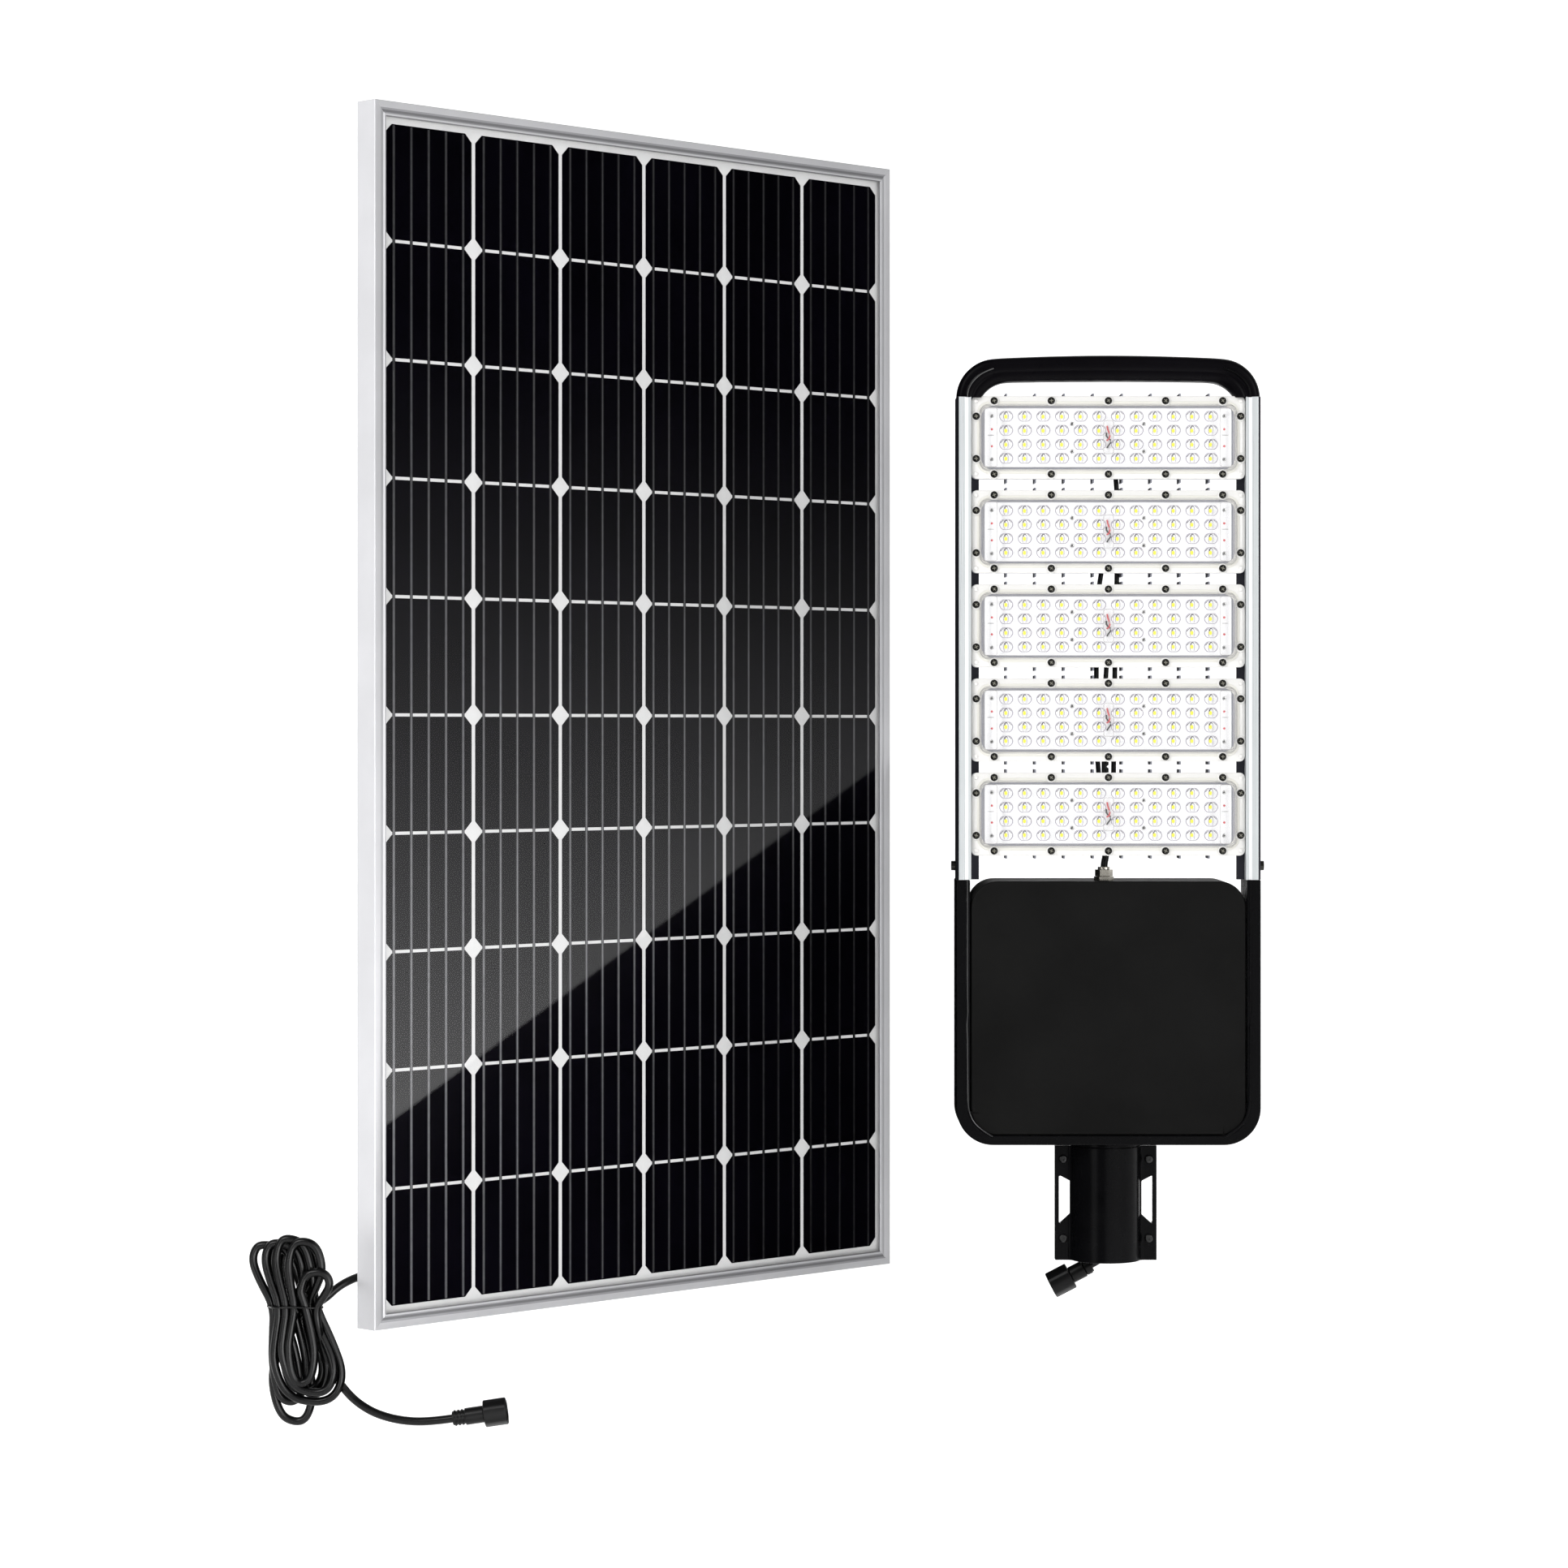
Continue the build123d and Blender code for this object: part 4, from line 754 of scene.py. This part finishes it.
# The two wires that come up through the board's middle.
RED_WIRE = [(-0.001, -0.0365, 0.0125), (-0.0006, -0.0385, 0.009), (0.0008, -0.04, 0.005),
            (0.0016, -0.0405, 0.0015), (0.0008, -0.04, -0.0015), (-0.0012, -0.037, -0.003)]
BLACK_WIRE = [(-0.0018, -0.0365, 0.005), (-0.0022, -0.0385, 0.002), (-0.0006, -0.0395, -0.0005),
              (0.0022, -0.0395, -0.0025), (0.0026, -0.0395, -0.0055), (0.0004, -0.0385, -0.0085),
              (-0.0012, -0.0365, -0.011)]
WIRE_RADIUS = 0.0009
BOARD_SCREWS = ((0.039, 0.015), (0.1262, 0.0235))
SOLDER_POINT = (0.1262, 0.0092)


def led_board_mesh():
    """A board with its LEDs, screws, solder points and wires."""
    bm = bmesh.new()
    front = BOARD_FRONT
    add_raised(bm, [(0.268, 0.064, 0.003, BOARD_BACK), (0.268, 0.064, 0.003, front)])
    for x in LENS_X:
        for z in LENS_Z:
            body = [(0.0036, 0.0036, 0.0003, front), (0.0035, 0.0035, 0.0003, front - 0.0005)]
            phosphor = [(0.0032, 0.0042, 0.0014, front - 0.0005),
                        (0.0029, 0.0039, 0.0013, front - 0.0008)]
            add_raised(bm, body, (x, z))
            add_raised(bm, phosphor, (x, z), 4, 1)
    for sx in (-1, 1):
        for sz in (-1, 1):
            for x, z in BOARD_SCREWS:
                place = along((sx * x, front, sz * z), (0, -1, 0))
                add_turned(bm, [(0, 0.0021), (0.0006, 0.002), (0.0009, 0.0012)], place, 20, 2)
                recess = star(sx * x, sz * z, 0.0013, 0.0006)
                add_prism(bm, recess, front - 0.00095, front - 0.0006, "Y", 4)
            place = along((sx * SOLDER_POINT[0], front, sz * SOLDER_POINT[1]), (0, -1, 0))
            add_turned(bm, [(0, 0.0013), (0.0003, 0.0012), (0.0004, 0.0008)], place, 16, 3)
        add_raised(bm, [(0.0068, 0.0007, 0.0003, front), (0.0067, 0.0006, 0.0003, front - 0.0002)],
                   (sx * 0.1272, 0.0028), 3, 2)
    add_tube(bm, RED_WIRE, WIRE_RADIUS, 3)
    add_tube(bm, BLACK_WIRE, WIRE_RADIUS, 4)
    return bm


def star(x, z, outer, inner):
    """A four-pointed outline, as a small screw's recess shows."""
    points = []
    for index in range(8):
        angle = math.pi / 4 * index
        reach = inner if index % 2 else outer
        points.append((x + reach * math.cos(angle), z + reach * math.sin(angle)))
    return points


def build_modules():
    """The five covers and boards share two meshes."""
    cover = piece("module_cover_1", lens_cover_mesh(),
                  [CLEAR, LENS_LINE, LENS_PAINTED_REFLECTION, FROSTED, COVER_EDGE, GASKET_BAND], 50.0)
    board = piece("module_board_1", led_board_mesh(),
                  [BOARD_WHITE, LED_PAINTED_GLOW, STEEL, RED_MARK, JACKET], 50.0)
    for number, z in zip(MODULES, MODULE_Z):
        for first, node, slot in ((cover, "lens_cover_%d", "clear_polycarbonate"),
                                  (board, "led_board_%d", "white_led_board")):
            made = first
            if number > 1:
                made = bpy.data.objects.new(first.name.replace("_1", "_%d" % number), first.data)
                scene.collection.objects.link(made)
            made.location = (0, 0, z)
            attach(made, "root")
            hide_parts(node % number)


SCREW_SIDES = 28
# The pan head from below its flange to its flat top: distance along the screw and radius.
SCREW_HEAD = ((-0.0008, 0.004), (0.0008, 0.004), (0.0016, 0.0037), (0.0022, 0.0031), (0.0025, 0.0024))
CROSS_ARM = 0.002
CROSS_HALF = 0.0005
CROSS_FLOOR = 0.0013


def add_cross_screw(bm, place):
    """A pan head with a cross recess. The place's Z points out of the head."""
    add_rings(bm, [circle(place, r, d, SCREW_SIDES) for d, r in SCREW_HEAD], caps=False)
    top, radius = SCREW_HEAD[-1]
    a, b = CROSS_ARM, CROSS_HALF
    cross = [(a, -b), (a, b), (b, b), (b, a), (-b, a), (-b, b),
             (-a, b), (-a, -b), (-b, -b), (-b, -a), (b, -a), (b, -b)]
    ring = [bm.verts.new(point) for point in circle(place, radius, top, SCREW_SIDES)]
    inner = [bm.verts.new(place @ Vector((x, y, top))) for x, y in cross]
    sides = [(k, (k + 1) % len(cross)) for k in range(len(cross))]
    edges = [bm.edges.new((ring[k], ring[(k + 1) % SCREW_SIDES])) for k in range(SCREW_SIDES)]
    edges += [bm.edges.new((inner[k], inner[after])) for k, after in sides]
    bmesh.ops.triangle_fill(bm, edges=edges, use_beauty=True)
    floor = [bm.verts.new(place @ Vector((x * 0.8, y * 0.8, CROSS_FLOOR))) for x, y in cross]
    recess = [bm.faces.new((inner[k], inner[after], floor[after], floor[k])) for k, after in sides]
    recess.append(bm.faces.new(floor))
    # The recess takes the second material, a painted highlight.
    for face in recess:
        face.material_index = 1


def build_module_screws():
    bm = bmesh.new()
    for z in MODULE_Z:
        for x, dz in COVER_SCREWS:
            turn = Matrix.Rotation(random.uniform(0, math.pi / 2), 4, "Z")
            add_cross_screw(bm, along((x, -0.0406, z + dz), (0, -1, 0)) @ turn)
    screws = piece("cover_screws", bm, [BLACK_NICKEL, SCREW_RECESS_PAINTED_HIGHLIGHT], 40.0)
    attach(screws, "root")
    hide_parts("module_screws")


# ------ side rails
# The rail's section, from its outer back corner round the front: half width, depth and material.
# Material 1 is painted shade on the outer side, its chamfer and the inner flange; material 2 is a
# painted highlight on the narrow slope inside the front face.
RAIL_SECTION = [
    (0.165, -0.007, 1), (0.165, -0.0424, 1), (0.1624, -0.045, 0), (0.1556, -0.045, 2),
    (0.1521, -0.0443, 0), (0.149, -0.0443, 0), (0.149, -0.03, 1), (0.14, -0.03, 1),
    (0.14, -0.028, 1), (0.149, -0.028, 0), (0.149, -0.007, 0),
]
RAIL_BOTTOM, RAIL_TOP = 0.417, 0.941


def build_rails():
    """The two extruded rails, mirror images of each other."""
    for side, node in ((-1, "side_rail_left"), (1, "side_rail_right")):
        bm = bmesh.new()
        outline = [(side * x, y) for x, y, _ in RAIL_SECTION]
        faces = add_prism(bm, outline, RAIL_BOTTOM, RAIL_TOP, "Z")
        for face, (_, _, material) in zip(faces[2:], RAIL_SECTION):
            face.material_index = material
        rail = piece(node + "_profile", bm, [RAIL, RAIL_PAINTED_SHADE, RAIL_PAINTED_HIGHLIGHT], 25.0, 0.0003)
        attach(rail, "root")
        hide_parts(node)


# ------ top arch
# Stations along the left half, from the foot to the middle: outer x, z and inner x, z.
ARCH_HALF = [
    (-0.165, 0.9402, -0.137, 0.9402), (-0.165, 0.9407, -0.137, 0.9407),
    (-0.165, 0.9418, -0.1368, 0.9415), (-0.1642, 0.949, -0.1356, 0.943),
    (-0.1618, 0.9565, -0.1338, 0.9452), (-0.1578, 0.964, -0.1314, 0.9476),
    (-0.1526, 0.9702, -0.1286, 0.95), (-0.1462, 0.9755, -0.1252, 0.9522),
    (-0.139, 0.9796, -0.1212, 0.9542), (-0.131, 0.982, -0.1166, 0.9558),
    (-0.122, 0.9832, -0.111, 0.9568), (-0.1, 0.9842, -0.096, 0.9573),
    (-0.06, 0.9856, -0.06, 0.9577), (-0.02, 0.9864, -0.02, 0.958),
]
# The section from the outer edge to the inner edge: share of the way across and depth.
ARCH_SECTION = [
    (0.0, -0.007), (0.0, -0.037), (0.02, -0.0405), (0.07, -0.0432), (0.15, -0.0447), (0.24, -0.045),
    (0.52, -0.045), (0.56, -0.0441), (0.6, -0.0437), (0.64, -0.0441), (0.68, -0.0446), (0.84, -0.044),
    (0.92, -0.0425), (0.98, -0.0395), (1.0, -0.035), (1.0, -0.007),
]


def build_arch():
    """The moulded arch: one section carried through the stations."""
    stations = ARCH_HALF + [(-a, b, -c, d) for a, b, c, d in reversed(ARCH_HALF)]
    bm = bmesh.new()
    rings = []
    for outer_x, outer_z, inner_x, inner_z in stations:
        rings.append([
            Vector((between(outer_x, inner_x, share), depth, between(outer_z, inner_z, share)))
            for share, depth in ARCH_SECTION])
    add_rings(bm, rings)
    arch = piece("arch_moulding", bm, [ARCH_PLASTIC], 40.0)
    smooth = arch.modifiers.new("smooth", "SUBSURF")
    smooth.levels = smooth.render_levels = 1
    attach(arch, "root")
    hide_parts("top_arch")


# ------ lips on the arch and the U-frame
LIP_RADIUS = 0.0016
ARCH_LIP = [(-0.1535, -0.0444, 0.9405), (-0.1535, -0.0444, 0.946), (-0.1505, -0.0446, 0.954),
            (-0.144, -0.0448, 0.962), (-0.135, -0.0449, 0.9685), (-0.125, -0.045, 0.972)]
FRAME_LIP = [(-0.1535, -0.0444, 0.4165), (-0.1535, -0.0444, 0.34), (-0.1535, -0.0444, 0.185),
             (-0.152, -0.0444, 0.164), (-0.143, -0.0444, 0.148), (-0.126, -0.0444, 0.1385)]


def build_lips():
    """A fine raised lip down each side of the lamp head's front."""
    for side, name, material in ((1, "left", GLOSS_LIP), (-1, "right", FRAME_PAINT)):
        bm = bmesh.new()
        for route in (ARCH_LIP, FRAME_LIP):
            add_curve_tube(bm, [(side * x, y, z) for x, y, z in route], 2 * LIP_RADIUS)
        lips = piece("front_lips_" + name, bm, [material], 50.0)
        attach(lips, "root")


# ------ leads behind the modules
LEAD_DIAMETER = 0.0054
TRUNK_DIAMETER = 0.0076
TRUNK_POINTS = [(-0.003, -0.015, 0.416), (-0.003, -0.015, 0.433), (-0.0005, -0.015, 0.443),
                (-0.0005, -0.015, 0.456)]
# The leads cross in two layers. Each: its layer's depth, and its route in x and z.
MODULE_LEAD_ROUTES = [
    (-0.0174, [(0.008, 0.892), (0.009, 0.86), (0.0114, 0.838), (0.0114, 0.745),
               (0.009, 0.69), (0.0088, 0.64), (0.0076, 0.539), (0.0062, 0.47)]),
    (-0.0126, [(-0.002, 0.79), (-0.0045, 0.757), (-0.009, 0.731), (-0.0108, 0.69),
               (-0.0112, 0.565), (-0.009, 0.539), (-0.007, 0.512), (-0.007, 0.47)]),
    (-0.0174, [(0.001, 0.688), (0.0002, 0.655), (-0.0016, 0.63),
               (-0.0032, 0.539), (-0.0032, 0.47)]),
    (-0.0126, [(0.0005, 0.586), (-0.0005, 0.545), (0.0003, 0.515), (0.0003, 0.47)]),
]
# Where each lead leaves its module, top module first.
LEAD_START_X = (0.008, -0.002, 0.001, 0.0005, 0.004)
LEAD_START_Y = -0.03
# The blocks at the leads' starts (width, height, depth) and the splitter (width, depth, height).
START_BLOCK = ((0.008, 0.012, 0.0), (0.008, 0.012, 0.0085), (0.0068, 0.0108, 0.01))
SPLITTER = ((0.02, 0.009, 0.452), (0.024, 0.012, 0.4545), (0.024, 0.012, 0.4715), (0.02, 0.009, 0.474))
SPLITTER_MIDDLE = (-0.002, -0.015)


def build_module_leads():
    """The modules' leads are fixed at both ends: each runs from its module's back to the splitter."""
    bm = bmesh.new()
    for depth, route in MODULE_LEAD_ROUTES:
        add_curve_tube(bm, [(x, depth, z) for x, z in route], LEAD_DIAMETER)
    add_curve_tube(bm, TRUNK_POINTS, TRUNK_DIAMETER)
    for x, z in zip(LEAD_START_X, MODULE_Z):
        add_rings(bm, [face_ring(rounded_rectangle(w, h, 0.0025, 5, (x, z)), LEAD_START_Y + d)
                       for w, h, d in START_BLOCK])
    add_rings(bm, [[Vector((x, y, z)) for x, y in rounded_rectangle(w, d, 0.004, 5, SPLITTER_MIDDLE)]
                   for w, d, z in SPLITTER])
    leads = piece("module_wiring", bm, [JACKET], 50.0)
    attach(leads, "root")
    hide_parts("module_leads")


# ------ the hank's wire tie
TIE_POINTS = [
    (-0.912, -0.042, -0.0455), (-0.906, -0.0545, -0.0452), (-0.896, -0.0592, -0.0448),
    (-0.88, -0.06, -0.0442), (-0.864, -0.059, -0.045), (-0.854, -0.052, -0.0462),
    (-0.852, -0.04, -0.047), (-0.856, -0.029, -0.047), (-0.87, -0.025, -0.0466),
    (-0.885, -0.025, -0.0462), (-0.9, -0.029, -0.046), (-0.91, -0.035, -0.0458),
]
TIE_TAIL = [(-0.88, -0.06, -0.0442), (-0.879, -0.0606, -0.0465), (-0.877, -0.0606, -0.05)]


def build_tie():
    """A covered wire round the hank's waist, with its twisted end."""
    bm = bmesh.new()
    add_curve_tube(bm, TIE_POINTS + TIE_POINTS[:2], 0.0022)
    add_curve_tube(bm, TIE_TAIL, 0.0018)
    tie = piece("hank_wire_tie", bm, [JACKET], 50.0)
    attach(tie, "root")
    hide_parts("hank_tie")
    return tie


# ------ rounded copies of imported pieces
def rounded_copy(node_name, width, body="root"):
    """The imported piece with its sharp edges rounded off, in its own place."""
    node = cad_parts[node_name]
    bm = bmesh.new()
    bm.from_mesh(node.data)
    bmesh.ops.remove_doubles(bm, verts=bm.verts, dist=0.000002)
    bmesh.ops.dissolve_limit(bm, angle_limit=math.radians(0.5), verts=bm.verts, edges=bm.edges)
    made = piece(node_name + "_rounded", bm, [NODE_MATERIALS[node_name]], bevel=width)
    made.modifiers["rounding"].use_clamp_overlap = False
    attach(made, body)
    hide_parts(node_name)
    return made


# ------ stage: floor, lights and camera
FLOOR_Z = -0.62
PALE = (0.93, 0.93, 0.93)
WORLD_LIGHT = 0.35


def build_backdrop():
    """A pale floor that curves up into a backdrop."""
    s = Shader("backdrop", PALE, 0.8, Emission_Color=(1.0, 1.0, 1.0, 1.0), Emission_Strength=0.5)
    s.tones(s.noise(2.0), [c * 0.99 for c in PALE], PALE)
    bm = bmesh.new()
    near, far, half, turn, top = -30.0, 7.0, 30.0, 2.5, 14.0
    steps = 16
    profile = [(near, FLOOR_Z), (far - turn, FLOOR_Z)]
    for step in range(1, steps + 1):
        angle = math.pi / 2 * step / steps
        profile.append((far - turn + turn * math.sin(angle), FLOOR_Z + turn * (1 - math.cos(angle))))
    profile.append((far, top))
    rows = [[bm.verts.new((x, y, z)) for y, z in profile] for x in (-half, half)]
    for index in range(len(profile) - 1):
        bm.faces.new((rows[0][index], rows[1][index], rows[1][index + 1], rows[0][index + 1]))
    backdrop = piece("backdrop", bm, [s.material])


def build_world():
    """A soft white surround, as white as the floor where it is seen past the backdrop."""
    world = bpy.data.worlds.new("studio")
    scene.world = world
    world.use_nodes = True
    tree = world.node_tree
    background = tree.nodes["Background"]
    background.inputs["Color"].default_value = (1.0, 1.0, 1.0, 1.0)
    seen = tree.nodes.new("ShaderNodeLightPath").outputs["Is Camera Ray"]
    strength = tree.nodes.new("ShaderNodeMapRange")
    tree.links.new(seen, strength.inputs["Value"])
    strength.inputs["To Min"].default_value = WORLD_LIGHT
    tree.links.new(strength.outputs["Result"], background.inputs["Strength"])
    scene.view_settings.view_transform = "Standard"


def area_light(name, place, target, size, power):
    """A rectangular light that faces a point."""
    data = bpy.data.lights.new(name, "AREA")
    data.shape = "RECTANGLE"
    data.size, data.size_y = size
    data.energy = power
    made = bpy.data.objects.new(name, data)
    made.location = place
    made.rotation_mode = "QUATERNION"
    made.rotation_quaternion = (Vector(target) - Vector(place)).to_track_quat("-Z", "Y")
    scene.collection.objects.link(made)


# The card stands just right of the panel. Its pattern is laid out for a plane farther out, and shrinks
# towards the point that the panel's glass mirrors the camera to.
CARD_X = -0.19
PATTERN_X = 2.5
MIRRORED_CAMERA = Vector((-5.308, 0.43, 0.58))
# The card's glow: its level at the foot, how fast it falls upwards and backwards, and its contrast.
CARD_LEVEL, FALL_UP, FALL_BACK, CONTRAST, CARD_POWER = 0.385, 0.262, 0.05, 2.3, 20.0
# Its sloping lower edge: slope, height and sharpness.
EDGE_SLOPE, EDGE_HEIGHT, EDGE_SHARPNESS = 0.7303, 0.104, 125.0


def build_reflection_card():
    """A tall graded card beside the set, seen only in reflections: the glass mirrors it."""
    bm = bmesh.new()
    corners = [(-7.0, -3.0), (6.0, -3.0), (6.0, 6.0), (-7.0, 6.0)]
    bm.faces.new([bm.verts.new((0.0, y, z)) for y, z in corners])
    s = Shader("reflection_card", (0, 0, 0), 1.0)
    split = s.node("ShaderNodeSeparateXYZ", Vector=s.place)
    y, z = split.outputs["Y"], split.outputs["Z"]
    # The light falls off upwards and backwards, above a sloping lower edge.
    level = s.combine("SUBTRACT", CARD_LEVEL, s.combine("MULTIPLY", z, FALL_UP))
    back = s.combine("MULTIPLY", s.combine("ADD", y, 0.3), FALL_BACK)
    level = s.combine("MAXIMUM", s.combine("SUBTRACT", level, back), 0.0)
    level = s.combine("POWER", level, CONTRAST)
    edge = s.combine("ADD", s.combine("MULTIPLY", y, EDGE_SLOPE), EDGE_HEIGHT)
    rise = s.combine("SUBTRACT", z, edge)
    above = s.combine("MULTIPLY", s.combine("ADD", rise, 0.004), EDGE_SHARPNESS)
    above = s.combine("MINIMUM", s.combine("MAXIMUM", above, 0.0), 1.0)
    panel_side = s.node("ShaderNodeNewGeometry").outputs["Backfacing"]
    above = s.combine("MULTIPLY", above, panel_side)
    light = s.combine("MULTIPLY", s.combine("MULTIPLY", level, above), CARD_POWER)
    glow = s.node("ShaderNodeEmission", Strength=light)
    s.tree.links.new(glow.outputs[0], s.output.inputs["Surface"])
    card = piece("reflection_card", bm, [s.material])
    shrink = (CARD_X - MIRRORED_CAMERA.x) / (PATTERN_X - MIRRORED_CAMERA.x)
    card.location = (CARD_X, MIRRORED_CAMERA.y * (1 - shrink), MIRRORED_CAMERA.z * (1 - shrink))
    card.scale = (1.0, shrink, shrink)
    for ray in ("camera", "diffuse", "shadow", "transmission"):
        setattr(card, "visible_" + ray, False)


def build_camera():
    """A long lens at panel height."""
    data = bpy.data.cameras.new("camera")
    data.sensor_width = 36.0
    data.lens = 95.65
    data.shift_y = -0.0347
    data.clip_end = 60.0
    camera = bpy.data.objects.new("camera", data)
    camera.location = (-0.352, -4.561, 0.58)
    camera.rotation_euler = (math.radians(90), 0, 0)
    scene.collection.objects.link(camera)
    scene.camera = camera


dress_nodes()
build_camera()
build_world()
build_backdrop()
build_reflection_card()
area_light("key", (-2.6, -3.4, 3.2), (-0.2, 0.0, 0.5), (2.4, 1.6), 125.0)
area_light("strip", (-3.2, -3.6, 0.6), (0.0, 0.0, 0.6), (0.25, 2.6), 40.0)
area_light("fill", (2.6, -3.6, 1.6), (0.0, 0.0, 0.5), (1.5, 2.0), 50.0)
build_panel_cable(
    build_tie(),
    rounded_copy("panel_connector_body", 0.0006),
    rounded_copy("panel_connector_nut", 0.0012, "panel_nut"))
build_pigtail(
    rounded_copy("pigtail_connector_body", 0.0006),
    rounded_copy("pigtail_connector_nut", 0.0012, "pigtail_nut"))
build_cells()
build_panel_frame()
build_modules()
build_module_screws()
build_rails()
build_arch()
build_lips()
build_module_leads()
for name, width, slot, body in [
        ("u_frame", 0.0014, "frame_paint", "root"),
        ("box_body", 0.0012, "box_paint", "root"),
        ("box_rear_cover", 0.0008, "box_paint", "root"),
        ("clamp_rear_shell", 0.0006, "frame_paint", "root"),
        ("junction_box_base", 0.001, "black_plastic", "root"),
        ("lead_gland_body", 0.0004, "nickel_gland", "root"),
        ("lead_gland_nut", 0.0004, "nickel_gland", "root"),
        ("pigtail_gland", 0.0006, "black_plastic", "root"),
        ("clamp_front_shell", 0.0006, "frame_paint", "clamp_front"),
        ("junction_box_lid", 0.001, "black_plastic", "junction_lid")]:
    rounded_copy(name, width, body)
